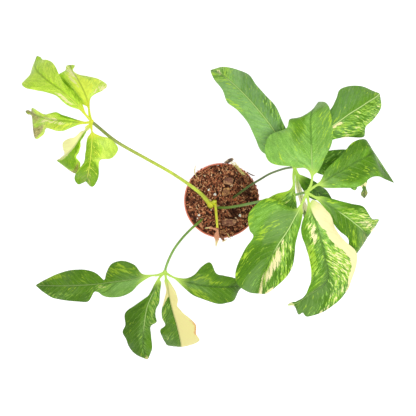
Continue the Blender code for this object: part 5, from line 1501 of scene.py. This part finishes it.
def pot_profile():
    """Return the pot's outline from the middle of its underside, up the outside and down the inside."""
    band_foot = POT_HEIGHT - RIM_BAND_HEIGHT
    rim_inner = pot_inner_radius(POT_HEIGHT)
    lip = (RIM_RADIUS - rim_inner) / 2
    floor_radius = pot_inner_radius(FLOOR_THICKNESS) - POT_CORNER
    outline = [(0.0, 0.0), (BASE_RADIUS * 0.5, 0.0)]
    outline += arc((BASE_RADIUS - POT_CORNER, POT_CORNER), POT_CORNER, -90.0, 0.0, 5)
    for share in (0.02, 0.25, 0.5, 0.75, 0.97):
        height = POT_CORNER + (band_foot - POT_CORNER) * share
        outline.append((pot_inner_radius(height) + POT_WALL, height))
    outline.append((pot_inner_radius(band_foot) + POT_WALL, band_foot))
    outline += arc((RIM_RADIUS - BAND_CORNER, band_foot + 0.0007), BAND_CORNER, -90.0, 0.0, 4)
    outline.append((RIM_RADIUS, POT_HEIGHT - 0.004))
    outline += arc(((RIM_RADIUS + rim_inner) / 2, POT_HEIGHT - lip), lip, 0.0, 180.0, 10)
    outline += [(pot_inner_radius(POT_HEIGHT * share), POT_HEIGHT * share) for share in (0.9, 0.6, 0.3, 0.06)]
    outline += arc((floor_radius, FLOOR_THICKNESS + POT_CORNER), POT_CORNER, 0.0, -90.0, 4)
    return outline + [(BASE_RADIUS * 0.5, FLOOR_THICKNESS), (0.0, FLOOR_THICKNESS)]


def make_pot_shell(finish):
    """Make the tapered pot with its band, rolled lip and drain holes, all as one turned shell."""
    build = bmesh.new()
    verts = [build.verts.new((radius, 0.0, z)) for radius, z in pot_profile()]
    edges = [build.edges.new(pair) for pair in zip(verts, verts[1:])]
    spin = {"axis": (0.0, 0.0, 1.0), "steps": POT_TURNS, "angle": math.tau}
    bmesh.ops.spin(build, geom=verts + edges, **spin)
    bmesh.ops.remove_doubles(build, verts=build.verts, dist=0.00001)
    pot = new_object("pot_shell", build, finish, POT_SHARP)
    holes = bpy.data.collections.new("drain_holes")
    for index in range(DRAIN_HOLES):
        angle = math.tau * (index + 0.5) / DRAIN_HOLES
        centre = (math.cos(angle) * DRAIN_CIRCLE_RADIUS, math.sin(angle) * DRAIN_CIRCLE_RADIUS, 0.0)
        place = {"matrix": Matrix.Translation(centre), "depth": 4.0 * FLOOR_THICKNESS}
        size = {"radius1": DRAIN_HOLE_RADIUS, "radius2": DRAIN_HOLE_RADIUS, "segments": 32}
        build = bmesh.new()
        bmesh.ops.create_cone(build, cap_ends=True, **place, **size)
        hole = new_object("drain_hole", build, finish)
        bpy.context.scene.collection.objects.unlink(hole)
        holes.objects.link(hole)
    boolean = pot.modifiers.new("Drain holes", "BOOLEAN")
    boolean.operation = "DIFFERENCE"
    boolean.operand_type = "COLLECTION"
    boolean.collection = holes
    boolean.solver = "EXACT"
    mesh = evaluated_mesh(pot)
    pot.modifiers.clear()
    pot.data = mesh
    shade(mesh, POT_SHARP)
    for hole in list(holes.objects):
        bpy.data.objects.remove(hole)
    bpy.data.collections.remove(holes)
    return pot


def mix_height(x, y):
    """Return the height of the mix at a point, with its lumps and hollows."""
    share = math.hypot(x, y) / RIM_RADIUS
    place = Vector((x, y, 0.0)) / MIX_LUMP_SIZE
    lumps = noise.noise(place) + 0.5 * noise.noise(place * 2.3)
    height = MIX_TOP_HEIGHT + MIX_CROWN * (1.0 - share * share) + MIX_LUMP_HEIGHT * lumps
    for plan_x, plan_y, radius, depth in MIX_HOLLOWS:
        centre = plan_to_space(plan_x, plan_y, MIX_TOP_HEIGHT / MM)
        distance = math.hypot(x - centre.x, y - centre.y) / radius
        height -= depth * math.exp(-2.0 * distance * distance)
    return height


def clod_height(x, y):
    """Return the height of the mix with its small clods."""
    place = Vector((x, y, 0.3)) / CLOD_SIZE
    clods = noise.noise(place) + 0.6 * noise.noise(place * 2.1)
    return mix_height(x, y) + CLOD_HEIGHT * clods


def mix_rings(build, reach, count, turns):
    """Return rings of points on the top of the mix, evenly out to the reach."""
    rings = []
    for ring in range(1, count + 1):
        radius = reach * ring / count
        places = [(radius * cosine, radius * sine) for cosine, sine in round_steps(turns)]
        rings.append([build.verts.new((x, y, clod_height(x, y))) for x, y in places])
    return rings


def ring_faces(rings):
    """Return the corners of each face between one ring of points and the next."""
    for inner, outer in zip(rings, rings[1:]):
        for (near, near_after), (far, far_after) in zip(neighbours(inner), neighbours(outer)):
            yield near, far, far_after, near_after


def make_mix_body(finish):
    """Make the mix that fills the pot, closed below, with a cloddy top."""
    wall_gap = SEAT_GAP * 1.2
    edge = pot_inner_radius(MIX_TOP_HEIGHT - MIX_LUMP_HEIGHT) - wall_gap
    foot_height = FLOOR_THICKNESS + SEAT_GAP
    foot = pot_inner_radius(foot_height) - wall_gap - POT_CORNER
    build = bmesh.new()
    rings = mix_rings(build, edge, MIX_RINGS, MIX_TURNS)
    rings.append([build.verts.new((foot * c, foot * s, foot_height)) for c, s in round_steps(MIX_TURNS)])
    for face in ring_faces(rings):
        build.faces.new(face)
    centre = build.verts.new((0.0, 0.0, clod_height(0.0, 0.0)))
    for near, after in neighbours(rings[0]):
        build.faces.new((centre, near, after))
    build.faces.new(rings[-1])
    return new_object("mix_body", build, finish, 70.0)


def under_chip(point):
    """Return whether a chip lies on this point of the mix."""
    for plan_x, plan_y, length, width, _, turn in BARK_CHIPS:
        centre = plan_to_space(plan_x, plan_y, MIX_TOP_HEIGHT / MM)
        place = Matrix.Rotation(math.radians(-turn), 2) @ (point - centre).xy
        if math.hypot(place.x / length, place.y / width) < CHIP_COVER:
            return True
    return False


def make_mix_top(name, reach):
    """Return the top surface of the mix out to the given radius, bare of the chips' places, to strew on."""
    build = bmesh.new()
    middle = [build.verts.new((0.0, 0.0, clod_height(0.0, 0.0)))] * STREW_TURNS
    for face in ring_faces([middle] + mix_rings(build, reach, STREW_RINGS, STREW_TURNS)):
        if not under_chip((face[0].co + face[2].co) / 2):
            build.faces.new(list(dict.fromkeys(face)))
    return add_mesh(name, build)


def make_lip_strip(name, start, end):
    """Return a strip that runs from the mix over the pot's lip between two angles, to strew crumbs on."""
    inner = pot_inner_radius(POT_HEIGHT)
    profile = (
        (inner - 0.0040, POT_HEIGHT - 0.0035), (inner - 0.0016, POT_HEIGHT - 0.0010),
        (inner + 0.0004, POT_HEIGHT + 0.0002), (RIM_RADIUS + 0.0002, POT_HEIGHT + 0.0002),
    )
    build = bmesh.new()
    lines = []
    for step in range(LIP_STEPS + 1):
        angle = math.radians(start + (end - start) * step / LIP_STEPS)
        lines.append([build.verts.new((math.cos(angle) * r, math.sin(angle) * r, z)) for r, z in profile])
    for line, after in zip(lines, lines[1:]):
        for corner in range(len(profile) - 1):
            build.faces.new((line[corner], line[corner + 1], after[corner + 1], after[corner]))
    return add_mesh(name, build)


def chip_outline(length, width, turn, seed):
    """Return a chip's outline round its own centre: straight broken sides between uneven corners."""
    draw = random.Random(seed)
    corners = []
    for corner in range(CHIP_SIDES):
        angle = math.tau * (corner + draw.uniform(-0.28, 0.28)) / CHIP_SIDES
        reach = draw.uniform(0.88, 1.08)
        x = math.copysign(abs(math.cos(angle)) ** 0.8, math.cos(angle)) * (length / 2) * reach
        y = math.copysign(abs(math.sin(angle)) ** 0.8, math.sin(angle)) * (width / 2) * reach
        corners.append(Vector((x, y, 0.0)))
    spun = Matrix.Rotation(math.radians(turn), 3, "Z")
    outline = []
    for start, end in neighbours(corners):
        for step in range(CHIP_STEPS):
            point = start.lerp(end, step / CHIP_STEPS)
            point *= 1.0 + CHIP_RAGGEDNESS * noise.noise(point * 700.0)
            outline.append((point, spun @ point))
    return outline


def make_bark_piece(name, chip, ledges, seed, centre, finish, relief):
    """Return a chip of layered bark: ledges round its side and long ridges over its top."""
    length, width, thickness, turn = chip
    outline = chip_outline(length, width, turn, seed)
    levels = [(thickness * share, scale) for share, scale in ledges]
    shell = Shell(("edge",))
    rings = []
    for level, (height, scale) in enumerate(levels):
        ring = []
        for point, spun in outline:
            lifted = spun * LEDGE_CELLS + Vector((0.0, 0.0, level * 3.1))
            ragged = 1.0 + LEDGE_RAGGEDNESS * noise.noise(lifted)
            place = centre + spun * scale * ragged + Vector((0.0, 0.0, height))
            ring.append(shell.add_point(place, (point.x * scale, point.y * scale), {"edge": 1.0}))
        rings.append(ring)
    top_height, top_scale = levels[-1]
    for step in range(1, CHIP_RINGS):
        scale = top_scale * (1.0 - step / CHIP_RINGS)
        ring = []
        for point, spun in outline:
            flat = point * scale
            ridge = noise.noise(Vector((flat.x * 130.0, flat.y * 620.0, centre.x * 100.0)))
            lump = noise.noise(spun * scale * 260.0)
            lift = top_height + relief * (0.8 * ridge + 0.6 * lump)
            place = centre + spun * scale + Vector((0.0, 0.0, lift))
            ring.append(shell.add_point(place, (flat.x, flat.y), {"edge": max(0.0, 1.0 - step / 2.0)}))
        rings.append(ring)
    for low, high in zip(rings, rings[1:]):
        shell.add_band(low, high)
    shell.faces.append(tuple(rings[0]))
    middle = shell.add_point(centre + Vector((0.0, 0.0, top_height)), (0.0, 0.0), {})
    for near, after in neighbours(rings[-1]):
        shell.faces.append((middle, near, after))
    return shell.make_object(name, finish, 35.0)


def make_grain(centre, size, finish, seed):
    """Return a porous rounded grain."""
    build = bmesh.new()
    bmesh.ops.create_icosphere(build, subdivisions=2, radius=1.0)
    for vert in build.verts:
        lumps = 0.7 * noise.noise(vert.co * 1.7 + Vector((seed * 5.3, 0.0, 0.0)))
        pores = 0.08 * noise.noise(vert.co * 6.0 + Vector((0.0, seed * 3.7, 0.0)))
        grown = vert.co * (1.0 + lumps + pores) * size
        vert.co = centre + Vector((grown.x, grown.y, grown.z * GRAIN_FLATNESS))
    return new_object("grain", build, finish, 14.0)


def join_pieces(name, pieces):
    """Return one object holding the pieces' meshes."""
    build = bmesh.new()
    for piece in pieces:
        build.from_mesh(piece.data)
    mesh = pieces[0].data.copy()
    mesh.name = name
    build.to_mesh(mesh)
    build.free()
    for piece in pieces:
        bpy.data.objects.remove(piece)
    return add_object(name, mesh)


def colour_property(name, description, red, green, blue):
    """Return a colour property whose default is given as a display colour in 0 to 255."""
    return bpy.props.FloatVectorProperty(
        name=name, description=description, subtype="COLOR", size=3, min=0.0, max=1.0,
        default=display(red, green, blue),
    )


def number_property(name, description, default, low, high, **kind):
    """Return a number property with its limits and its unit or subtype."""
    return bpy.props.FloatProperty(
        name=name, description=description, default=default, min=low, max=high, **kind
    )


def tone_property(name, description, default):
    """Return a factor that makes a piece's colours brighter or darker."""
    return number_property(name, description, default, 0.1, 1.5, subtype="FACTOR")


class LeafSettings(bpy.types.PropertyGroup):
    """The leaves' colours and fine relief."""

    young_green: colour_property("Young green", "Base green of the newest full leaf", 190, 234, 58)
    young_dark: colour_property("Young dark", "Deep green of the newest full leaf", 122, 172, 0)
    young_light: colour_property("Young light", "Yellow-green of the newest full leaf", 212, 242, 94)
    young_lime: colour_property("Young lime", "Brightest flecks of the newest full leaf", 234, 250, 84)
    # The dull patch colour is painted sheen, a grey-green reflection of the sky.
    young_bloom: colour_property("Young bloom", "Dull patches of the newest full leaf", 180, 216, 76)
    young_cream: colour_property("Young cream", "Cream of the newest full leaf", 250, 252, 170)
    young_arm: colour_property("Young arms", "Arms of the newest full leaf", 226, 236, 66)
    young_under: colour_property("Young underside", "Dull underside of the newest full leaf", 158, 186, 72)
    green: colour_property("Green", "Base green of the grown leaves", 112, 168, 34)
    # The deep and light greens are partly painted shade and painted light on the halves that face away from
    # and towards the key light.
    dark: colour_property("Dark green", "Deep green of the grown leaves", 86, 136, 16)
    light: colour_property("Light green", "Pale green halves of the grown leaves", 150, 208, 92)
    lime: colour_property("Lime", "Lime flecks", 186, 228, 56)
    # The dull grey-green patch colours are painted sheen, a reflection of the sky.
    bloom: colour_property("Bloom", "Dull grey-green patches of the grown leaves", 118, 158, 82)
    under_painted_sheen: colour_property("Middle bloom", "Dull grey-green patches of the middle leaf", 132, 172, 122)
    cream: colour_property("Cream", "Cream sectors", 255, 247, 184)
    # The low leaf's darker cream is painted shade.
    low_shaded_cream: colour_property("Low cream", "Cream of the oldest leaf", 236, 228, 150)
    rib: colour_property("Ribs", "Ribs and veins", 204, 236, 140)
    arm: colour_property("Arms", "Short arms from the hub to the blades", 188, 224, 96)
    under: colour_property("Underside", "Dull pale underside", 118, 158, 90)
    vein_spacing: number_property(
        "Vein spacing", "Distance between side veins along the rib", 0.0085, 0.003, 0.03, unit="LENGTH"
    )
    flecks: number_property("Flecks", "How many lime flecks there are", 0.5, 0.0, 2.0, subtype="FACTOR")
    young_tone: tone_property("Young leaf tone", "Brightness of the newest full leaf", 1.07)
    # The low leaf's lower tone is painted shade.
    low_shade_tone: tone_property("Low leaf tone", "Brightness of the oldest leaf's green", 0.68)
    under_tone: tone_property("Middle leaf tone", "Brightness of the middle leaf's green", 1.02)


class StalkSettings(bpy.types.PropertyGroup):
    """The stalks' colours."""

    lime_foot: colour_property("Lime foot", "Young stalk where it leaves the crown", 205, 215, 55)
    lime_middle: colour_property("Lime middle", "Young stalk in its middle", 194, 214, 68)
    lime_top: colour_property("Lime top", "Young stalk below its hub", 122, 142, 42)
    shoot: colour_property("Shoot", "Stalk of the new shoot", 236, 236, 52)
    green_foot: colour_property("Green foot", "Grown stalk at its foot", 104, 134, 46)
    green_middle: colour_property("Green middle", "Grown stalk in its middle", 112, 160, 56)
    green_top: colour_property("Green top", "Grown stalk below its hub", 138, 186, 84)
    deep_tone: tone_property("Middle stalk tone", "Brightness of the middle leaf's stalk", 0.44)
    sheath: colour_property("Sheath", "Papery sheath of the new shoot", 255, 176, 136)
    sheath_tip: colour_property("Sheath tip", "Pale tip of the sheath", 246, 232, 165)


class PotSettings(bpy.types.PropertyGroup):
    """The pot, the mix and what lies on it."""

    plastic: colour_property("Pot", "Terracotta plastic", 232, 128, 100)
    # The wet mix colour is painted shade in the gaps between the crumbs; it is also the tone of the darkest
    # crumbs.
    soil_dark_and_gap_shade: colour_property("Wet mix", "Gaps in the mix", 52, 28, 20)
    soil_brown: colour_property("Dry mix", "Top of the mix", 128, 74, 50)
    crumb_red: colour_property("Red crumbs", "Reddish crumbs", 180, 106, 74)
    crumb_tan: colour_property("Tan crumbs", "Tan crumbs", 218, 156, 114)
    crumb_pale: colour_property("Pale crumbs", "Palest crumbs", 242, 206, 168)
    crumb_density: number_property("Crumb density", "Crumbs per square metre", 230000.0, 0.0, 400000.0)
    crumb_length: number_property(
        "Crumb length", "Half length of the longest crumbs", 0.0028, 0.0005, 0.006, unit="LENGTH"
    )


class StageSettings(bpy.types.PropertyGroup):
    """The studio's light and camera."""

    eye_height: number_property(
        "Camera height", "Height of the camera over the pot's underside", EYE_HEIGHT, 0.5, 5.0, unit="LENGTH"
    )
    key_power: number_property("Key light", "Power of the large soft light", 19.0, 0.0, 500.0, unit="POWER")
    fill_power: number_property("Fill light", "Power of the opposite light", 3.0, 0.0, 500.0, unit="POWER")
    sky: number_property("Sky", "Strength of the even light from all round", 0.42, 0.0, 5.0)


def colours_of(settings, *names):
    """Return the settings' colours of these names."""
    return [tuple(getattr(settings, name)) for name in names]


def add_area_light(name, direction, size, power, aim):
    """Add a large soft light that faces the aim from a direction."""
    light = bpy.data.lights.new(name, "AREA")
    light.shape = "DISK"
    light.size = size
    light.energy = power
    made = add_object(name, light)
    towards = Vector(direction).normalized()
    made.location = aim + towards * LIGHT_DISTANCE
    made.rotation_mode = "QUATERNION"
    made.rotation_quaternion = towards.to_track_quat("Z", "Y")


class PLANT_OT_stage(bpy.types.Operator):
    """Make the pale floor, the soft lights and the camera over the plant."""

    bl_idname = "plant.stage"
    bl_label = "Stage"

    def execute(self, context):
        settings = context.scene.plant_stage
        scene = context.scene
        middle = (CAD_BOX[0] + CAD_BOX[1]) / 2

        build = bmesh.new()
        bmesh.ops.create_grid(build, x_segments=2, y_segments=2, size=FLOOR_SIZE / 2)
        finish, maker, shader = start_material("floor_paper", roughness=0.9, specular=0.1)
        unevenness = maker.ramp(maker.noise(maker.object_place(), 9.0, 3.0), 0.3, 0.7)
        paper = maker.mix(unevenness, (0.47, 0.47, 0.47), (0.50, 0.50, 0.50))
        maker.feed(shader.inputs["Base Color"], paper)
        shader.inputs["Emission Color"].default_value = (1.0, 1.0, 1.0, 1.0)
        shader.inputs["Emission Strength"].default_value = FLOOR_GLOW
        floor = new_object("floor", build, finish)
        floor.location = (middle.x, middle.y, -FLOOR_GAP)

        world = bpy.data.worlds.new("studio")
        world.use_nodes = True
        back = world.node_tree.nodes["Background"]
        back.inputs["Color"].default_value = (1.0, 1.0, 1.0, 1.0)
        back.inputs["Strength"].default_value = settings.sky
        scene.world = world
        add_area_light("key", KEY_DIRECTION, KEY_SIZE, settings.key_power, middle)
        add_area_light("fill", FILL_DIRECTION, FILL_SIZE, settings.fill_power, middle)

        lens = bpy.data.cameras.new("view_from_above")
        reach = settings.eye_height - POT_HEIGHT
        lens.lens = lens.sensor_width * reach / (PLAN_WIDTH * PLAN_UNIT)
        camera = add_object("view_from_above", lens)
        camera.location = (EYE_X, EYE_Y, settings.eye_height)
        scene.camera = camera
        scene.view_settings.view_transform = "Standard"
        return {"FINISHED"}


class PLANT_OT_leaves(bpy.types.Operator):
    """Make the blades of the four leaves, each leaf as one piece on its hub."""

    bl_idname = "plant.leaves"
    bl_label = "Leaf blades"

    def execute(self, context):
        settings = context.scene.plant_leaves
        grown = {name: tuple(getattr(settings, name.lower())) for name in LEAF_COLOURS}
        own = [name for name in LEAF_COLOURS if name != "Rib"]
        young = {name: tuple(getattr(settings, "young_" + name.lower())) for name in own}
        young["Rib"] = young["Lime"]
        # The low leaf's darker cream and lower tone are painted shade; the middle leaf's own grey-green is
        # painted sheen.
        low = dict(grown, Cream=tuple(settings.low_shaded_cream))
        middle = dict(grown, Bloom=tuple(settings.under_painted_sheen))
        shared = {"Vein Spacing": settings.vein_spacing, "Flecks": settings.flecks}
        for name, leaf, colours, tone, slot in (
            ("young_leaf", YOUNG_LEAF, young, settings.young_tone, "lime_blade"),
            ("low_leaf", LOW_LEAF, low, settings.low_shade_tone, "green_blade"),
            ("under_leaf", UNDER_LEAF, middle, settings.under_tone, "green_blade"),
            ("top_leaf", TOP_LEAF, grown, 1.0, "green_blade"),
        ):
            tissue = leaf_material(name + "_skin", {**colours, **shared, "Tone": tone})
            shell = Shell(PAINT_KINDS + ("arm", "seed", "edge", "under"))
            hub = leaf.stalk[-1]
            add_hub(shell, plan_to_space(*hub), len(name))
            for index, (leaflet, patches) in enumerate(zip(leaf.leaflets, leaf.paint)):
                add_leaflet(shell, (hub, *leaflet), patches, index, settings.vein_spacing)
            place_piece(shell.make_object(name + "_tissue", tissue), slot, name + "_blades")
        return {"FINISHED"}


class PLANT_OT_stalks(bpy.types.Operator):
    """Make the four leaf stalks and the swollen sheath at the young leaf's foot."""

    bl_idname = "plant.stalks"
    bl_label = "Stalks"

    def execute(self, context):
        settings = context.scene.plant_stalks
        lime = stalk_material("lime_stalk_skin", settings.lime_foot, settings.lime_middle, settings.lime_top)
        greens = colours_of(settings, "green_foot", "green_middle", "green_top")
        green = stalk_material("green_stalk_skin", *greens)
        deep = stalk_material("deep_stalk_skin", *greens, settings.deep_tone)
        for name, leaf, skin, slot in (
            ("young_leaf", YOUNG_LEAF, lime, "lime_stalk"),
            ("low_leaf", LOW_LEAF, green, "green_stalk"),
            ("under_leaf", UNDER_LEAF, deep, "green_stalk"),
            ("top_leaf", TOP_LEAF, green, "green_stalk"),
        ):
            points, shares = plan_curve(leaf.stalk, STALK_STEPS)
            foot, top = leaf.radii
            radii = [top + (foot - top) * (1.0 - share) ** STALK_TAPER for share in shares]
            place_piece(make_sweep(name + "_petiole", points, radii, skin), slot, name + "_stalk")

        skin = stalk_material("crown_skin", settings.lime_middle, settings.lime_foot, settings.shoot)
        for name, plan, radii, ridges, ridge_height in (
            ("crown_sheath", CROWN_POINTS, CROWN_RADII, 5, 0.07),
            ("crown_knob", KNOB_POINTS, KNOB_RADII, 3, 0.06),
        ):
            points, _ = plan_curve(plan, CROWN_STEPS)
            radii = [radius.x for radius in smooth_curve([Vector((r, 0.0)) for r in radii], CROWN_STEPS)]
            place_piece(make_sweep(name, points, radii, skin, ridges, ridge_height), "lime_stalk")
        return {"FINISHED"}


class PLANT_OT_shoot(bpy.types.Operator):
    """Make the new shoot: its short bright stalk and the papery sheath at its end."""

    bl_idname = "plant.shoot"
    bl_label = "New shoot"

    def execute(self, context):
        settings = context.scene.plant_stalks
        bright = stalk_material("shoot_stalk_skin", settings.lime_middle, settings.shoot, settings.shoot)
        points, shares = plan_curve(SHOOT_STALK, STALK_STEPS)
        foot, top = SHOOT_RADII
        radii = [foot + (top - foot) * share for share in shares]
        stalk = make_sweep("shoot_petiole", points, radii, bright, ridges=5, ridge_height=0.05)
        place_piece(stalk, "lime_stalk", "new_shoot_stalk")
        paper = sheath_material(*colours_of(settings, "sheath", "sheath_tip"))
        sheath = make_sheath("shoot_paper", (SHOOT_SHEATH, SHOOT_TEAR), paper)
        place_piece(sheath, "pink_sheath", "new_shoot_sheath")
        return {"FINISHED"}


class PLANT_OT_pot(bpy.types.Operator):
    """Make the nursery pot."""

    bl_idname = "plant.pot"
    bl_label = "Pot"

    def execute(self, context):
        settings = context.scene.plant_pot
        pot = make_pot_shell(pot_material(tuple(settings.plastic)))
        place_piece(pot, "terracotta_plastic", "pot")
        return {"FINISHED"}


class PLANT_OT_mix(bpy.types.Operator):
    """Make the potting mix, with crumbs and fibres strewn over its top."""

    bl_idname = "plant.mix"
    bl_label = "Potting mix"

    def execute(self, context):
        settings = context.scene.plant_pot
        tones = colours_of(settings, "soil_dark_and_gap_shade", "soil_brown", "crumb_red", "crumb_tan", "crumb_pale")
        body = make_mix_body(mix_material(*tones[:2]))
        place_piece(body, "bark_mix", "potting_mix")
        loose = crumb_material(*tones)
        reach = pot_inner_radius(MIX_TOP_HEIGHT) - WALL_CLEARANCE
        length = settings.crumb_length
        values = {
            "Density": settings.crumb_density, "Smallest": (length * 0.3, length * 0.22, length * 0.16),
            "Largest": (length, length * 0.5, length * 0.4), "Seed": 4, "Material": loose,
        }
        crumbs = apply_tree(make_mix_top("crumb_ground", reach), "mix_crumbs", crumb_tree(), values, 30.0)
        place_piece(crumbs, "bark_mix")
        values.update({
            "Density": settings.crumb_density * 2.0, "Smallest": (length * 0.2, length * 0.14, length * 0.1),
            "Largest": (length * 0.55, length * 0.35, length * 0.25), "Roughness": 0.0008,
        })
        spills = []
        for seed, (start, end) in enumerate(LIP_SPILLS):
            values["Seed"] = seed
            strip = make_lip_strip("lip_ground", start, end)
            spills.append(apply_tree(strip, "spill", crumb_tree(), values, 30.0))
        place_piece(join_pieces("lip_crumbs", spills), "bark_mix")
        values = {"Seed": 9, "Material": loose}
        fibres = apply_tree(make_mix_top("fibre_ground", reach * 0.93), "mix_fibres", fibre_tree(), values)
        place_piece(fibres, "bark_mix")
        return {"FINISHED"}


class PLANT_OT_bark(bpy.types.Operator):
    """Make the bark chips on the mix and the flakes across the rim."""

    bl_idname = "plant.bark"
    bl_label = "Bark chips"

    def execute(self, context):
        plum = bark_material("plum_bark", (108, 66, 54), (186, 128, 104), (226, 170, 128))
        tan = bark_material("tan_bark", (112, 68, 46), (196, 138, 100), (246, 184, 118))
        grey = bark_material("grey_bark", (72, 58, 54), (132, 108, 96), (206, 182, 150))
        finishes = (plum, tan, plum, tan)
        for index, (chip, finish) in enumerate(zip(BARK_CHIPS, finishes)):
            centre = plan_to_space(*chip[:2], MIX_TOP_HEIGHT / MM)
            centre.z = mix_height(centre.x, centre.y) - CHIP_SINK
            name = "bark_piece_%d" % (index + 1)
            piece = make_bark_piece(name, chip[2:], CHIP_LEDGES, index, centre, finish, CHIP_RELIEF)
            place_piece(piece, "bark", "bark_chip_%d" % (index + 1))
        flakes = (("rim_bark", grey, ("rim_flake",)), ("rim_bark_low", plum, ()))
        for (name, finish, nodes), flake in zip(flakes, RIM_FLAKES):
            centre = plan_to_space(*flake[:2], POT_HEIGHT / MM)
            centre.z = POT_HEIGHT + SEAT_GAP
            seed = len(BARK_CHIPS)
            piece = make_bark_piece(name, flake[2:], FLAKE_LEDGES, seed, centre, finish, CHIP_RELIEF / 3)
            place_piece(piece, "bark", *nodes)
        return {"FINISHED"}


def strew_grains(name, grains, lifts, finish, first_seed):
    """Return one piece of all the grains, each this far over the clods under it."""
    made = []
    for seed, ((plan_x, plan_y, size), lift) in enumerate(zip(grains, lifts), first_seed):
        spot = plan_to_space(plan_x, plan_y, MIX_TOP_HEIGHT / MM)
        spot.z = clod_height(spot.x, spot.y) + lift
        made.append(make_grain(spot, size, finish, seed))
    return join_pieces(name, made)


def lay_strands(name, paths, finish, radius, spread):
    """Return one piece of thin strands along the plan paths, their bends moved at random."""
    strands = []
    draw = random.Random(len(name))
    for path in paths:
        bends = [plan_to_space(*point) for point in path]
        bends = [bend + spread * Vector([draw.uniform(-1.0, 1.0) for _ in range(3)]) for bend in bends]
        points = smooth_curve(bends, STRAND_STEPS)
        last = len(points) - 1
        radii = [radius * (1.0 - 0.6 * abs(2.0 * step / last - 1.0) ** 2) for step in range(last + 1)]
        strands.append(make_sweep("strand", points, radii, finish, ridges=3, ridge_height=0.2))
    return join_pieces(name, strands)


class PLANT_OT_loose_bits(bpy.types.Operator):
    """Make the white grains, the straws and the other loose bits on the mix."""

    bl_idname = "plant.loose_bits"
    bl_label = "Loose bits"

    def execute(self, context):
        white = plain_grain_material("perlite", (255, 253, 248), 0.8, 1500.0, 0.05)
        straw = plain_grain_material("dry_straw", (232, 214, 150), 0.6, 900.0, 0.25)
        moss = plain_grain_material("dry_moss", (236, 222, 146), 0.8, 900.0, 0.3)
        wood = plain_grain_material("grey_twig", (96, 84, 76), 0.8, 900.0, 0.45)
        orange = plain_grain_material("orange_bark", (222, 118, 66), 0.75, 800.0, 0.35)
        lifts = [GRAIN_LIFT] * len(PERLITE_GRAINS)
        place_piece(strew_grains("perlite_grains", PERLITE_GRAINS, lifts, white, 0), "bark_mix")
        lifts = [size * 0.5 for _, _, size in ORANGE_BITS]
        place_piece(strew_grains("orange_bits", ORANGE_BITS, lifts, orange, 20), "bark")
        place_piece(lay_strands("straws", STRAW_PATHS, straw, 0.0006, 0.0), "bark_mix")
        place_piece(lay_strands("moss_strands", MOSS_PATHS * 6, moss, 0.00032, STRAND_SPREAD), "bark_mix")
        place_piece(lay_strands("rim_twig", TWIG_PATHS, wood, 0.0007, 0.0), "bark_mix")
        return {"FINISHED"}


OPERATORS = (
    PLANT_OT_stage, PLANT_OT_leaves, PLANT_OT_stalks, PLANT_OT_shoot, PLANT_OT_pot, PLANT_OT_mix,
    PLANT_OT_bark, PLANT_OT_loose_bits,
)
SETTINGS = (
    ("plant_stage", StageSettings),
    ("plant_leaves", LeafSettings),
    ("plant_stalks", StalkSettings),
    ("plant_pot", PotSettings),
)


class PLANT_PT_sidebar(bpy.types.Panel):
    """The plant's pieces and settings in the 3D view's sidebar."""

    bl_idname = "PLANT_PT_sidebar"
    bl_label = "Potted anthurium"
    bl_space_type = "VIEW_3D"
    bl_region_type = "UI"
    bl_category = "Plant"

    def draw(self, context):
        for operator in OPERATORS:
            self.layout.operator(operator.bl_idname)
        for name, group in SETTINGS:
            box = self.layout.box()
            for setting in group.__annotations__:
                box.prop(getattr(context.scene, name), setting)


def register():
    """Add the settings, the operators and the panel to Blender."""
    for name, group in SETTINGS:
        bpy.utils.register_class(group)
        setattr(bpy.types.Scene, name, bpy.props.PointerProperty(type=group))
    for operator in OPERATORS:
        bpy.utils.register_class(operator)
    bpy.utils.register_class(PLANT_PT_sidebar)


def unregister():
    """Remove the panel, the operators and the settings from Blender."""
    bpy.utils.unregister_class(PLANT_PT_sidebar)
    for operator in reversed(OPERATORS):
        bpy.utils.unregister_class(operator)
    for name, group in reversed(SETTINGS):
        delattr(bpy.types.Scene, name)
        bpy.utils.unregister_class(group)


def main():
    """Make the whole plant on its stage."""
    register()
    bpy.ops.plant.stage()
    bpy.ops.plant.leaves()
    bpy.ops.plant.stalks()
    bpy.ops.plant.shoot()
    bpy.ops.plant.pot()
    bpy.ops.plant.mix()
    bpy.ops.plant.bark()
    bpy.ops.plant.loose_bits()
    bpy.context.view_layer.update()


if __name__ == "__main__":
    main()
